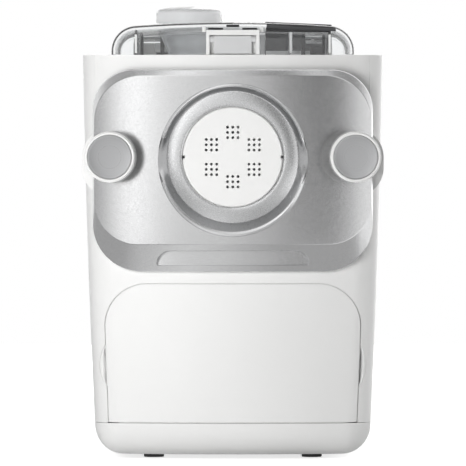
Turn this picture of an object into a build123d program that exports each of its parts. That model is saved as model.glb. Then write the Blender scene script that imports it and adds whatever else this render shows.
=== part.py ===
from build123d import *
import os
from math import acos, asin, cos, degrees, pi, radians, sin, sqrt, tan

# Electric pasta maker. Millimetres, +Z up, front towards -Y, origin on the ground under the middle.

# ---- Overall form -------------------------------------------------------------------------------
DEPTH = 345.0              # ring cap's face to the rear wall
RIM_Z = 288.5              # top edge of the body
HALF_TOP = 107.5           # half width at the rim
SIDE_TAPER = 9.7           # each side leans in this much from the rim to the underside
SIDE_BULGE = 1.294         # and stands out this much from straight at MID_Z
MID_Z = 156.0
FOOT_PROUD = 2.5           # ground to the underside
HALF_LOW = HALF_TOP - SIDE_TAPER
HALF_MID = HALF_LOW + SIDE_TAPER * (MID_Z - FOOT_PROUD) / (RIM_Z - FOOT_PROUD) + SIDE_BULGE
FRONT_BOW = 330.0          # plan radius of the front wall
BACK_BOW = 900.0           # plan radius of the rear wall
FRONT_CORNER = 22.0
BACK_CORNER = 30.0
UNDER_ROUND = 21.0
SHELL = 3.0
PARTING = 0.3              # gap where two mouldings meet
FIT = 0.05                 # radial clearance of turning fits
SLIP = 0.3                 # clearance of loose sliding fits
CAP_PROUD = 12.5           # ring cap ahead of the panel's face
PANEL_PROUD = 13.0         # panel's face ahead of the front wall
REAR_Y = DEPTH / 2
PANEL_Y = CAP_PROUD - DEPTH / 2
WALL_Y = PANEL_Y + PANEL_PROUD
SEAM_Y = WALL_Y + 16.0     # fascia meets the outer housing
BASE_SEAM_Z = 25.5
FASCIA_LOW_Z = 160.0       # fascia's lower edge, hidden by the front panel

# ---- Extrusion axis -----------------------------------------------------------------------------
AXIS_Z = 215.7
BORE_R = 24.0              # tube
TUBE_MOUTH_R = 40.0
TUBE_FLANGE_R = 47.0
TUBE_FLANGE = 5.0
TUBE_PLUG_R = 30.7
SCREW_R = 23.4
SCREW_CORE_R = 9.0
SCREW_PITCH = 28.0
SCREW_FLIGHT = 5.0
SCREW_LENGTH = 116.0

# ---- Ring cap and shaping disc ------------------------------------------------------------------
CAP_R = 46.8
CAP_WINDOW_R = 35.9
CAP_LIP = 4.0
CAP_LENGTH = 14.5
LUG_R = 43.4
LUG_ANGLE = 16.0
LUG_THICK = 3.0
CAP_TURN = 50.0            # degrees from locked to the entry slots
DISC_R = 35.5
DISC_FLANGE_R = 39.0
DISC_FLANGE = 2.5
DISC_SUNK = 1.0            # disc's face behind the cap's face
DIE_HOLE_R = 0.98
DIE_PITCH = 3.72
DIE_GROUP_R = 17.5
DIE_GROUPS = 6
SEAT_OVAL = 1.5            # seat ring's centre lies this far below the axis
SEAT_R = 52.7
SEAT_DEEP = 3.0
SEAT_PROUD = 0.8

# ---- Front panel --------------------------------------------------------------------------------
PANEL_HALF = 100.0
PANEL_TOP_Z = 278.0
PANEL_FACE_TOP_Z = 273.6
PANEL_FACE_LOW_Z = 153.2
PANEL_LOW_Z = 133.6
PANEL_TOP_CORNER = 29.0
PANEL_LOW_CORNER = 35.0
PANEL_TOP_SLOPE = 3.0      # how far the top bevel falls back
PANEL_LOW_SLOPE = 9.0      # how far the lower band falls back
SLOT_HALF = 54.3
SLOT_LOW_Z = 138.6
SLOT_TOP_Z = 148.9
SLOT_FLOOR = 1.5

# ---- Knobs and studs ----------------------------------------------------------------------------
KNOB_X = 87.5
KNOB_R = 18.1
KNOB_FACE_R = 15.9
KNOB_FACE_SUNK = 1.2
KNOB_FACE_THICK = 2.0
KNOB_LENGTH = 22.0
KNOB_FRONT_Y = 1.5 - DEPTH / 2
STUD_R = 5.0
NUT_R = 8.0
NUT_LENGTH = 12.0
EAR_R = 20.3
EAR_TALL = 8.0
EAR_DROP = 4.0
STUD_BOSS_R = 9.0
STUD_ROOT = 22.0           # stud's length behind the ear's face

# ---- Mixing chamber -----------------------------------------------------------------------------
CHAMBER_R = 66.0
CHAMBER_WALL = 2.5
CHAMBER_FRONT = 13.0       # chamber's front wall behind the body's front wall
CHAMBER_LENGTH = 179.0
CHAMBER_MOUTH_HALF = 80.0
CHAMBER_FLARE_Z = 256.0
FLANGE_THICK = 2.2
FLANGE_HALF = 88.0
FLANGE_FRONT = 4.5
FLANGE_BACK = 9.5
DECK_THICK = 3.0
CHAMBER_FRONT_Y = WALL_Y + CHAMBER_FRONT
CHAMBER_BACK_Y = CHAMBER_FRONT_Y + CHAMBER_LENGTH

# ---- Drive --------------------------------------------------------------------------------------
SHAFT_R = 8.0
HEX_ACROSS = 13.0
BEARING_R = 16.0
BEARING_WIDE = 9.0
NOSE_R = 21.0
GEARBOX_FRONT_Y = REAR_Y - 76.5
GEARBOX_DEPTH = 42.0
GEARBOX_WALL = 3.0
OUT_MODULE = 2.0
OUT_TEETH = 56
PINION_TEETH = 14
FAST_MODULE = 1.25
WHEEL_TEETH = 60
MOTOR_TEETH = 12
GEAR_ANGLE = 25.0          # pressure angle
BACKLASH = 0.16
IDLER_PIN_R = 4.0
MOTOR_R = 36.0
MOTOR_LENGTH = 88.0
MOTOR_SHAFT_R = 4.0
FAN_R = 31.0
MOTOR_SHAFT_PROUD = 15.0   # shaft ahead of the casing, under the fan
FAN_BLADES = 9
PADDLE_REACH = 60.0
PADDLE_HUB_R = 14.0
PADDLE_BARS = 78.0         # how far the bars reach round the screw

# ---- Drawer -------------------------------------------------------------------------------------
DRAWER_TOP_Z = 124.9
DRAWER_HALF_TOP = 92.4
DRAWER_HALF_LOW = 88.5
DRAWER_CORNER = 30.0
DRAWER_GAP = 0.6
DRAWER_FRONT_THICK = 4.0
TRAY_HALF = 82.0
TRAY_LOW_Z = 30.0
TRAY_TOP_Z = 108.0
TRAY_WALL = 2.0
TRAY_BACK_GAP = 7.9        # tray's rear wall ahead of the bay's end
BAY_WALL = 1.6
BAY_CLEAR = 5.4            # bay's end ahead of the motor shaft
RAIL_Z = 60.0
RAIL_TALL = 5.0
SCOOP_Z = 67.0
SCOOP_HALF = 16.0
SCOOP_DEEP = 5.2
SCOOP_BACK = 9.0
SCOOP_WALL = 2.0

# ---- Lid ----------------------------------------------------------------------------------------
LID_HALF = 86.8
LID_SHOULDER_Z = 308.0
LID_SHOULDER = 18.0
LID_TOP_Z = 311.8
LID_WALL = 2.5
LID_FRONT = 8.0            # lid's front behind the body's front wall
LID_LENGTH = 193.0
LID_ROUND = 9.0
INLET_X = -31.4
INLET_Y = -55.0
INLET_R = 24.3
INLET_TOP_Z = 324.4
INLET_HOLE_R = 20.0
HINGE_X = 60.0
HINGE_Z = 304.0
HINGE_BACK = 6.0           # hinge axis behind the lid's rear wall
HINGE_PIN_R = 2.0
HINGE_EAR_R = 5.0
HINGE_EAR_WIDE = 12.0
LATCH_HALF = 19.0
LATCH_TOP_Z = 306.2
LATCH_BAR = 3.6
LATCH_LEG = 2.4
LATCH_BLOCK_HALF = 13.4
LATCH_DEEP = 6.5

# ---- Control panel ------------------------------------------------------------------------------
PANELTOP_HALF = 74.0
CONSOLE_FRONT_GAP = 12.0   # behind the hinge axis
CONSOLE_LENGTH = 86.0
CONSOLE_LOW_Z = 299.0
CONSOLE_RISE = 9.5
CONSOLE_WALL = 2.5
CONSOLE_CORNER = 12.0
WINDOW_LONG = 54.0
WINDOW_WIDE = 24.0
WINDOW_THICK = 2.0
BUTTON_R = 6.5
BUTTON_PROUD = 1.4
BUTTON_TALL = 6.0
BUTTON_SPACE = 18.0
BOARD_DROP = 12.0
BOARD_THICK = 1.6

# ---- Back, base and fasteners -------------------------------------------------------------------
FOOT_R = 7.3
FOOT_X = 56.7
FOOT_FRONT_Y = -108.0
FOOT_BACK_Y = 132.0
FOOT_SUNK = 1.2
INLET_SOCKET_X = 50.0
INLET_SOCKET_Z = 58.0
SOCKET_WIDE = 25.0
SOCKET_TALL = 17.0
SOCKET_DEEP = 17.0
VENT_SLOTS = 9
VENT_PITCH = 7.0
VENT_LOW_Z = 100.0
SCREW_HEAD_R = 3.2
THREAD_R = 1.6


# ---- Small helpers ------------------------------------------------------------------------------
def along_y(outline, front, back):
    """Front-view outline (x, z) as a prism from depth front to depth back."""
    return extrude(Plane.XZ.offset(-back) * outline, amount=back - front)


def rod_y(radius, front, back, x=0.0, z=AXIS_Z):
    return along_y(Pos(x, z) * Circle(radius), front, back)


def ring_y(outer, inner, front, back, x=0.0, z=AXIS_Z):
    return along_y(Pos(x, z) * (Circle(outer) - Circle(inner)), front, back)


def turned(points, x=0.0, z=AXIS_Z):
    """Profile of (radius, y) corners spun round an axis along Y."""
    outline = make_face(Polyline(*points, close=True))
    return Pos(x, 0, z) * revolve(outline, Axis.Y)


def block(x_low, x_high, y_low, y_high, z_low, z_high):
    size = (x_high - x_low, y_high - y_low, z_high - z_low)
    return Pos((x_low + x_high) / 2, (y_low + y_high) / 2, (z_low + z_high) / 2) * Box(*size)


def sag(radius, half):
    """How far an arc of this radius falls back at half a chord."""
    return radius - sqrt(radius**2 - half**2)


def both_sides(solid):
    return [solid, mirror(solid, about=Plane.YZ)]


def group(solids):
    return Compound(children=list(solids))


def bow_prism(front_y, front_r, back_y, back_r, half=130.0):
    """Plan shape with bowed front and rear walls, tall enough to cut the whole body."""
    fall, rise = sag(front_r, half), sag(back_r, half)
    front = ThreePointArc((-half, front_y + fall), (0, front_y), (half, front_y + fall))
    back = ThreePointArc((half, back_y - rise), (0, back_y), (-half, back_y - rise))
    sides = [Line(front @ 1, back @ 0), Line(back @ 1, front @ 0)]
    return extrude(make_face([front, back] + sides), amount=RIM_Z + 60)


def body_form(inset):
    """Outer form of the housing, or the same form a given distance inside it."""
    low = FOOT_PROUD + inset
    halves = [half - inset for half in (HALF_LOW, HALF_MID, HALF_TOP)]
    right = ThreePointArc((halves[0], low), (halves[1], MID_Z), (halves[2], RIM_Z))
    left = ThreePointArc((-halves[2], RIM_Z), (-halves[1], MID_Z), (-halves[0], low))
    outline = make_face([right, Line(right @ 1, left @ 0), left, Line(left @ 1, right @ 0)])
    form = along_y(outline, -DEPTH, DEPTH)
    form &= bow_prism(WALL_Y + inset, FRONT_BOW - inset, REAR_Y - inset, BACK_BOW - inset)
    uprights = [edge for edge in form.edges() if abs((edge @ 1 - edge @ 0).Z) > RIM_Z / 2]
    form = fillet([edge for edge in uprights if edge.center().Y < 0], FRONT_CORNER - inset)
    uprights = [edge for edge in form.edges() if abs((edge @ 1 - edge @ 0).Z) > RIM_Z / 2]
    rear = [edge for edge in uprights if edge.center().Y > REAR_Y / 2]
    form = fillet(rear, BACK_CORNER - inset)
    flat = [edge for edge in form.edges() if edge.bounding_box().max.Z < low + 0.1]
    return fillet(flat, UNDER_ROUND - inset)


def above(z):
    return block(-200, 200, -300, 300, z, RIM_Z + 100)


def below(z):
    return block(-200, 200, -300, 300, -50, z)


OUTER = body_form(0.0)
WALLS = OUTER - body_form(SHELL)


# ---- Drawer outline, shared by the drawer front, the fascia and the bay -------------------------
def drawer_outline(grow):
    top = DRAWER_TOP_Z + grow
    low = BASE_SEAM_Z - grow
    corners = [(-DRAWER_HALF_LOW - grow, low), (DRAWER_HALF_LOW + grow, low)]
    corners += [(DRAWER_HALF_TOP + grow, top), (-DRAWER_HALF_TOP - grow, top)]
    outline = make_face(Polyline(*corners, close=True))
    return fillet(outline.vertices().filter_by_position(Axis.Y, top - 1, top + 1), DRAWER_CORNER + grow)


def drawer_edge_x():
    """Half width of the drawer front at the height of the scoops."""
    share = (SCOOP_Z - BASE_SEAM_Z) / (DRAWER_TOP_Z - BASE_SEAM_Z)
    return DRAWER_HALF_LOW + (DRAWER_HALF_TOP - DRAWER_HALF_LOW) * share


def scoop_solid(grow):
    """Right-hand finger scoop beside the drawer: a round pocket whose edge shows as a crescent."""
    radius = (SCOOP_HALF**2 + SCOOP_DEEP**2) / (2 * SCOOP_DEEP)
    edge = drawer_edge_x()
    back = WALL_Y + sag(FRONT_BOW, edge) + SCOOP_BACK
    pocket = rod_y(radius + grow, WALL_Y - 1, back + grow, x=edge + SCOOP_DEEP - radius, z=SCOOP_Z)
    return pocket & block(edge - grow, 120, -300, 0, 0, DRAWER_TOP_Z)


def fascia_space(grow):
    """Room ahead of the seam and above the drawer that the fascia fills."""
    return block(-200, 200, -300, SEAM_Y + grow, FASCIA_LOW_Z - grow, 400)


def front_walls():
    """Housing walls with the scoops sunk into both front corners, and the drawer's mouth cut."""
    walls = WALLS
    for cup in both_sides(scoop_solid(SCOOP_WALL) & OUTER):
        walls += cup
    for pocket in both_sides(scoop_solid(0.0)):
        walls -= pocket
    return walls - along_y(drawer_outline(DRAWER_GAP), WALL_Y - 5, SEAM_Y + 15)


# ---- Body shells --------------------------------------------------------------------------------
def make_base_tray():
    tray = WALLS & below(BASE_SEAM_Z - PARTING / 2)
    for x, y in foot_places():
        tray -= Pos(x, y, FOOT_PROUD + FOOT_SUNK / 2) * Cylinder(FOOT_R + 0.1, FOOT_SUNK)
    for x, y in base_screw_places():
        post = Pos(x, y, FOOT_PROUD + SHELL + 5) * Cylinder(4.5, 10)
        tray += post
        tray -= Pos(x, y, FOOT_PROUD + 8) * Cylinder(THREAD_R, 20)
        tray -= Pos(x, y, FOOT_PROUD + 1) * Cylinder(SCREW_HEAD_R + 0.3, 2.4)
    return tray


def foot_places():
    return [(x, y) for x in (-FOOT_X, FOOT_X) for y in (FOOT_FRONT_Y, FOOT_BACK_Y)]


def base_screw_places():
    return [(x, y) for x in (-32.0, 32.0) for y in (GEARBOX_FRONT_Y - 38, GEARBOX_FRONT_Y + 12)]


def make_feet():
    foot = Cylinder(FOOT_R, FOOT_PROUD + FOOT_SUNK)
    foot = fillet(foot.edges().filter_by_position(Axis.Z, -9, 0), 0.6)
    return group(Pos(x, y, (FOOT_PROUD + FOOT_SUNK) / 2) * foot for x, y in foot_places())


def ear(grow):
    """Boss behind a knob, standing a little wider than the side wall."""
    tall = RectangleRounded(2 * (EAR_R + grow), 2 * (EAR_R + grow) + EAR_TALL, EAR_R + grow - 0.01)
    outline = Pos(KNOB_X, AXIS_Z - EAR_DROP) * tall
    return along_y(outline, ear_face_y() - grow, SEAM_Y - PARTING / 2)


def ear_face_y():
    return WALL_Y + sag(FRONT_BOW, KNOB_X) - 0.6


def make_fascia():
    fascia = WALLS & fascia_space(-PARTING / 2)
    outboard = block(CHAMBER_R + CHAMBER_WALL + 1.5, 200, -300, 300, 0, RIM_Z)
    root = rod_y(STUD_BOSS_R, ear_face_y() + 3, ear_face_y() + STUD_ROOT, x=KNOB_X)
    for solid in both_sides(ear(0.0) & outboard) + both_sides(root & body_form(SHELL + PARTING)):
        fascia += solid
    fascia -= flange_hole()
    for solid in both_sides(rod_y(STUD_R, ear_face_y() - 1, ear_face_y() + STUD_ROOT - 3, x=KNOB_X)):
        fascia -= solid
    return fascia


def flange_hole():
    """Clear way for the tube's flange."""
    return rod_y(TUBE_FLANGE_R + 3, WALL_Y - 20, SEAM_Y + 30)


def make_outer_housing():
    housing = (front_walls() & above(BASE_SEAM_Z + PARTING / 2)) - fascia_space(PARTING / 2)
    for row in range(VENT_SLOTS):
        slot = RectangleRounded(90, 3.2, 1.5)
        housing -= along_y(Pos(-20, VENT_LOW_Z + row * VENT_PITCH) * slot, REAR_Y - 20, REAR_Y + 5)
    for solid in both_sides(rod_y(STUD_R + SLIP, SEAM_Y, 0, x=KNOB_X)):
        housing -= solid
    hole = Pos(INLET_SOCKET_X, INLET_SOCKET_Z) * RectangleRounded(SOCKET_WIDE + 4.4, SOCKET_TALL + 4.4, 4)
    return housing - along_y(hole, REAR_Y - 30, REAR_Y + 5)


def deck_top():
    return RIM_Z - FLANGE_THICK - 0.1


def make_top_deck():
    deck = body_form(SHELL + 0.1) & above(deck_top() - DECK_THICK) & below(deck_top())
    mouth = chamber_outline(CHAMBER_WALL + 1.0)
    return deck - along_y(mouth, -DEPTH, CHAMBER_BACK_Y + 1)


# ---- Mixing chamber -----------------------------------------------------------------------------
def chamber_outline(grow):
    """Trough: round floor about the screw's axis, flaring to the mouth."""
    radius = CHAMBER_R + grow
    mouth = CHAMBER_MOUTH_HALF + grow
    floor = ThreePointArc((-radius, AXIS_Z), (0, AXIS_Z - radius), (radius, AXIS_Z))
    right = Polyline((radius, AXIS_Z), (radius, CHAMBER_FLARE_Z), (mouth, RIM_Z + 1))
    left = Polyline((-mouth, RIM_Z + 1), (-radius, CHAMBER_FLARE_Z), (-radius, AXIS_Z))
    return make_face([floor] + right.edges() + [Line(right @ 1, left @ 0)] + left.edges())


def make_mixing_chamber():
    chamber = along_y(chamber_outline(CHAMBER_WALL), CHAMBER_FRONT_Y, CHAMBER_BACK_Y) & below(RIM_Z)
    plate = RectangleRounded(2 * FLANGE_HALF, CHAMBER_LENGTH + FLANGE_FRONT + FLANGE_BACK, 14)
    middle = (CHAMBER_FRONT_Y - FLANGE_FRONT + CHAMBER_BACK_Y + FLANGE_BACK) / 2
    chamber += Pos(0, middle, RIM_Z - FLANGE_THICK) * extrude(plate, amount=FLANGE_THICK)
    chamber -= along_y(chamber_outline(0), CHAMBER_FRONT_Y + CHAMBER_WALL, CHAMBER_BACK_Y - CHAMBER_WALL)
    chamber &= body_form(SHELL + PARTING)
    chamber += ring_y(18, 12, CHAMBER_BACK_Y - CHAMBER_WALL - 5, CHAMBER_BACK_Y)
    chamber -= rod_y(12, CHAMBER_BACK_Y - 20, CHAMBER_BACK_Y + 1)
    return chamber - rod_y(TUBE_PLUG_R + 0.15, CHAMBER_FRONT_Y - 1, CHAMBER_FRONT_Y + 10)


def make_shaft_seal():
    back = CHAMBER_BACK_Y - 0.2
    return ring_y(11.9, SHAFT_R + FIT, back - 6, back)


# ---- Front panel group --------------------------------------------------------------------------
def panel_outline(grow):
    low, top, half = PANEL_LOW_Z - grow, PANEL_TOP_Z + grow, PANEL_HALF + grow
    outline = make_face(Polyline((-half, low), (half, low), (half, top), (-half, top), close=True))
    outline = fillet(outline.vertices().group_by(Axis.Y)[0], PANEL_LOW_CORNER + grow)
    return fillet([v for v in outline.vertices() if v.Y > top - PANEL_TOP_CORNER and abs(v.X) > half - 1
                   and v.Y > top - 1], PANEL_TOP_CORNER + grow)


def make_front_panel():
    """Section of face, bevel and lower band spun round the bow's centre, trimmed to the outline."""
    back = WALL_Y - PARTING
    face = PANEL_Y
    section = [(back, PANEL_LOW_Z - 1), (face + PANEL_LOW_SLOPE, PANEL_LOW_Z - 1),
               (face + PANEL_LOW_SLOPE, PANEL_LOW_Z), (face, PANEL_FACE_LOW_Z), (face, PANEL_FACE_TOP_Z),
               (face + PANEL_TOP_SLOPE, PANEL_TOP_Z), (face + PANEL_TOP_SLOPE, PANEL_TOP_Z + 1),
               (back, PANEL_TOP_Z + 1)]
    centre_y = WALL_Y + FRONT_BOW
    outline = make_face(Polyline(*[(0, y, z) for y, z in section], close=True))
    half_sweep = degrees(asin((PANEL_HALF + 8) / FRONT_BOW))
    bowed = revolve(outline, Axis((0, centre_y, 0), (0, 0, 1)), revolution_arc=half_sweep)
    bowed += mirror(bowed, about=Plane.YZ)
    panel = bowed & along_y(panel_outline(0.0), PANEL_Y - 5, WALL_Y + 40)
    knob_back = KNOB_FRONT_Y + KNOB_LENGTH
    for side in (-1, 1):
        x = side * KNOB_X
        panel += rod_y(KNOB_R + 0.5, knob_back, ear_face_y() - 2, x=x)
        panel -= rod_y(KNOB_R + 0.9, PANEL_Y - 5, knob_back, x=x)
    panel -= bow_prism(back, FRONT_BOW + PARTING, REAR_Y, BACK_BOW)
    for solid in both_sides(ear(PARTING)):
        panel -= solid
    for side in (-1, 1):
        panel -= rod_y(STUD_R + SLIP, PANEL_Y, WALL_Y + 40, x=side * KNOB_X)
    panel -= along_y(seat_outline(SEAT_R), PANEL_Y - 5, PANEL_Y + SEAT_DEEP)
    spigot = ring_y(TUBE_FLANGE_R - 1, TUBE_MOUTH_R + SLIP, WALL_Y - PARTING, flange_front_y() - 0.1)
    panel += spigot
    panel -= rod_y(TUBE_MOUTH_R + SLIP, PANEL_Y - 5, WALL_Y + 20)
    return panel - finger_slot()


def finger_slot():
    corner = (SLOT_TOP_Z - SLOT_LOW_Z) - 0.2
    points = [(-SLOT_HALF, SLOT_LOW_Z), (SLOT_HALF, SLOT_LOW_Z)]
    points += [(SLOT_HALF, SLOT_TOP_Z), (-SLOT_HALF, SLOT_TOP_Z)]
    outline = make_face(Polyline(*points, close=True))
    outline = fillet(outline.vertices().group_by(Axis.Y)[-1], corner)
    return along_y(outline, PANEL_Y - 5, WALL_Y - PARTING - SLOT_FLOOR)


def seat_outline(radius):
    tall = RectangleRounded(2 * radius, 2 * (radius + SEAT_OVAL), radius - 0.01)
    return Pos(0, AXIS_Z - SEAT_OVAL) * tall


def make_cap_seat_ring():
    ring = along_y(seat_outline(SEAT_R - 0.2), PANEL_Y - SEAT_PROUD, PANEL_Y + SEAT_DEEP - 0.1)
    ring -= rod_y(CAP_R + 0.5, PANEL_Y - 5, PANEL_Y + 5)
    ring -= block(-60, -CAP_R, PANEL_Y - 5, PANEL_Y + 1.2, AXIS_Z - 12, AXIS_Z + 12)
    return ring - block(CAP_R, 60, PANEL_Y - 5, PANEL_Y + 1.2, AXIS_Z - 6, AXIS_Z + 6)


def flange_front_y():
    return CHAMBER_FRONT_Y - 2.0 - TUBE_FLANGE


def disc_back_y():
    return -DEPTH / 2 + CAP_LIP + 0.2 + DISC_FLANGE


def lug_outline(radius, spread):
    """Two opposite sectors at three and nine o'clock."""
    half = radians(spread / 2)
    reach = radius + 10
    wedge = make_face(Polyline((0, 0), (reach, reach * tan(half)), (reach, -reach * tan(half)), close=True))
    pair = wedge + Rot(0, 0, 180) * wedge
    return pair & Circle(radius)


def make_extrusion_tube():
    tube = rod_y(TUBE_MOUTH_R, disc_back_y() + 0.2, flange_front_y() + 1)
    tube += rod_y(TUBE_FLANGE_R, flange_front_y(), flange_front_y() + TUBE_FLANGE)
    tube += rod_y(TUBE_PLUG_R, flange_front_y(), CHAMBER_FRONT_Y + CHAMBER_WALL + 2)
    lugs = Pos(0, AXIS_Z) * lug_outline(LUG_R, LUG_ANGLE)
    tube += along_y(lugs, lug_front_y(), lug_front_y() + LUG_THICK)
    return tube - rod_y(BORE_R, -DEPTH, 0)


def lug_front_y():
    return disc_back_y() + 1.2


def make_tube_seal():
    return ring_y(36.5, TUBE_PLUG_R + 0.1, flange_front_y() + TUBE_FLANGE, CHAMBER_FRONT_Y - 0.1)


def make_ring_cap():
    face = -DEPTH / 2
    back = face + CAP_LENGTH
    cavity_back = lug_front_y() + LUG_THICK + SLIP
    points = [(CAP_WINDOW_R, face + 1), (CAP_WINDOW_R + 1, face), (CAP_R - 2, face), (CAP_R, face + 2),
              (CAP_R, back), (TUBE_MOUTH_R + SLIP, back), (TUBE_MOUTH_R + SLIP, cavity_back),
              (LUG_R + SLIP, cavity_back), (LUG_R + SLIP, face + CAP_LIP), (CAP_WINDOW_R, face + CAP_LIP)]
    cap = turned(points)
    slots = Pos(0, AXIS_Z) * Rot(0, 0, CAP_TURN) * lug_outline(LUG_R + SLIP, LUG_ANGLE + 3)
    return cap - along_y(slots, cavity_back - 0.5, back + 1)


def make_shaping_disc():
    face = -DEPTH / 2 + DISC_SUNK
    back = disc_back_y()
    points = [(0, face), (DISC_R - 0.8, face), (DISC_R, face + 0.8), (DISC_R, back - DISC_FLANGE),
              (DISC_FLANGE_R, back - DISC_FLANGE), (DISC_FLANGE_R, back), (0, back)]
    disc = turned(points)
    holes = Sketch()
    for index in range(DIE_GROUPS):
        angle = radians(30 + 360 / DIE_GROUPS * index)
        place = Pos(DIE_GROUP_R * cos(angle), AXIS_Z + DIE_GROUP_R * sin(angle))
        holes += [place * Pos(i * DIE_PITCH, k * DIE_PITCH) * Circle(DIE_HOLE_R)
                  for i in (-1, 0, 1) for k in (-1, 0, 1)]
    disc -= along_y(holes, face - 1, back + 1)
    for side in (-1, 1):
        rim = side * DISC_R
        disc -= block(rim - 1.6, rim + 1.6, face - 1, face + 1.5, AXIS_Z - 1.4, AXIS_Z + 1.4)
    return disc


# ---- Knobs --------------------------------------------------------------------------------------
def make_stud():
    stud = rod_y(STUD_R, KNOB_FRONT_Y + 6, ear_face_y() + STUD_ROOT - 3.2, x=KNOB_X)
    return chamfer(stud.edges().group_by(Axis.Y)[0], 1.0)


def make_knob():
    front, back = KNOB_FRONT_Y, KNOB_FRONT_Y + KNOB_LENGTH - 0.3
    sunk = front + KNOB_FACE_SUNK
    nut_back = back - 1.5
    points = [(0, sunk + KNOB_FACE_THICK), (KNOB_FACE_R, sunk + KNOB_FACE_THICK), (KNOB_FACE_R, front + 0.4),
              (KNOB_FACE_R + 0.4, front), (KNOB_R - 1.0, front), (KNOB_R, front + 1.2), (KNOB_R, back - 1),
              (KNOB_R - 1, back), (NUT_R + FIT, back), (NUT_R + FIT, nut_back - NUT_LENGTH),
              (STUD_R + 1, nut_back - NUT_LENGTH), (STUD_R + 1, front + 5), (0, front + 5)]
    knob = turned(points, x=KNOB_X)
    grip = rod_y(0.9, front + 3, back - 2, x=KNOB_X + KNOB_R + 0.45)
    centre = Axis((KNOB_X, 0, AXIS_Z), (0, 1, 0))
    return knob - [grip.rotate(centre, 360 / 30 * index) for index in range(30)]


def make_knob_face():
    sunk = KNOB_FRONT_Y + KNOB_FACE_SUNK
    face = rod_y(KNOB_FACE_R - 0.1, sunk, sunk + KNOB_FACE_THICK - 0.05, x=KNOB_X)
    return chamfer(face.edges().group_by(Axis.Y)[0], 0.4)


def make_nut():
    nut_back = KNOB_FRONT_Y + KNOB_LENGTH - 1.8
    return ring_y(NUT_R, STUD_R + FIT, nut_back - NUT_LENGTH + 0.1, nut_back, x=KNOB_X)


# ---- Screw, paddle and shaft --------------------------------------------------------------------
def screw_back_y():
    return disc_back_y() + 1.2 + SCREW_LENGTH


def make_extrusion_screw():
    """One start of rectangular thread: a cam section twisted along the axis, on a hexagonal socket."""
    half = radians(180 * SCREW_FLIGHT / SCREW_PITCH)
    tip = ThreePointArc((SCREW_R * cos(half), -SCREW_R * sin(half)), (SCREW_R, 0),
                        (SCREW_R * cos(half), SCREW_R * sin(half)))
    blade = make_face([tip, Line(tip @ 1, (0, 0)), Line((0, 0), tip @ 0)])
    section = (blade + Circle(SCREW_CORE_R)).faces()[0]
    twist = 360 * SCREW_LENGTH / SCREW_PITCH
    screw = Solid.extrude_linear_with_rotation(section, (0, 0, 0), (0, 0, SCREW_LENGTH), twist)
    screw = Pos(0, screw_back_y(), AXIS_Z) * Rot(90, 0, 0) * screw
    collar = rod_y(SCREW_CORE_R + 3, screw_back_y() - 6, screw_back_y() + 4)
    socket = along_y(Pos(0, AXIS_Z) * RegularPolygon(HEX_ACROSS / 2 + 0.1, 6, major_radius=False),
                     screw_back_y() - 30, screw_back_y() + 5)
    return screw + collar - socket


def paddle_front_y():
    return screw_back_y() + 4.2


def make_mixing_paddle():
    back = CHAMBER_BACK_Y - CHAMBER_WALL - 6.5
    hub = rod_y(PADDLE_HUB_R, paddle_front_y(), back)
    hub = fillet(hub.edges().group_by(Axis.Y)[0], 2)
    paddle = hub
    reach, tip = PADDLE_REACH, paddle_front_y() - PADDLE_BARS
    for side in (-1, 1):
        arm = block(0, reach, back - 15, back - 1, AXIS_Z - 4, AXIS_Z + 4)
        bar = block(reach - 9, reach, tip, back - 1, AXIS_Z - 4, AXIS_Z + 4)
        finger = block(reach - 26, reach, tip, tip + 10, AXIS_Z - 4, AXIS_Z + 4)
        vane = block(0, PADDLE_REACH - 16, back - 40, back - 28, AXIS_Z - 3, AXIS_Z + 3)
        vane = vane.rotate(Axis((0, 0, AXIS_Z), (0, 1, 0)), 90)
        wing = fillet((arm + bar + finger).edges().filter_by(Axis.Y), 2.5)
        centre = Axis((0, 0, AXIS_Z), (0, 1, 0))
        turn = 0 if side > 0 else 180
        paddle += wing.rotate(centre, turn)
        paddle += vane.rotate(centre, turn)
    socket = Pos(0, AXIS_Z) * RegularPolygon(HEX_ACROSS / 2 + 0.1, 6, major_radius=False)
    return paddle - along_y(socket, paddle_front_y() - 5, back + 5)


def make_drive_shaft():
    hex_back = CHAMBER_BACK_Y - CHAMBER_WALL - 6.6
    hexagon = Pos(0, AXIS_Z) * RegularPolygon(HEX_ACROSS / 2, 6, major_radius=False)
    shaft = along_y(hexagon, screw_back_y() - 28, hex_back + 0.5)
    return shaft + rod_y(SHAFT_R, hex_back + 0.4, gear_back_y() + 2)


# ---- Gears --------------------------------------------------------------------------------------
def gear_blank(module, teeth):
    """Involute outline; a tooth is centred on the local +X axis."""
    pitch_r = module * teeth / 2
    base_r = pitch_r * cos(radians(GEAR_ANGLE))
    tip_r = pitch_r + module
    root_r = pitch_r - 1.25 * module
    low_r = max(base_r, root_r)

    def roll(radius):
        slope = acos(min(1.0, base_r / radius))
        return tan(slope) - slope

    half = pi / (2 * teeth) - BACKLASH / (2 * pitch_r) + roll(pitch_r)

    def at(radius, angle):
        return (radius * cos(angle), radius * sin(angle))

    mid_r = (low_r + tip_r) / 2
    edges, last = [], None
    for index in range(teeth):
        centre = 2 * pi * index / teeth
        left = [at(r, centre - half + roll(r)) for r in (low_r, mid_r, tip_r)]
        right = [at(r, centre + half - roll(r)) for r in (tip_r, mid_r, low_r)]
        foot_left = at(root_r, centre - half + roll(low_r))
        foot_right = at(root_r, centre + half - roll(low_r))
        if last is None:
            first = foot_left
        else:
            edges.append(Line(last, foot_left))
        if low_r > root_r:
            edges.append(Line(foot_left, left[0]))
        edges += [ThreePointArc(*left), Line(left[2], right[0]), ThreePointArc(*right)]
        if low_r > root_r:
            edges.append(Line(right[2], foot_right))
        last = foot_right
    edges.append(Line(last, first))
    return make_face(edges)


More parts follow.
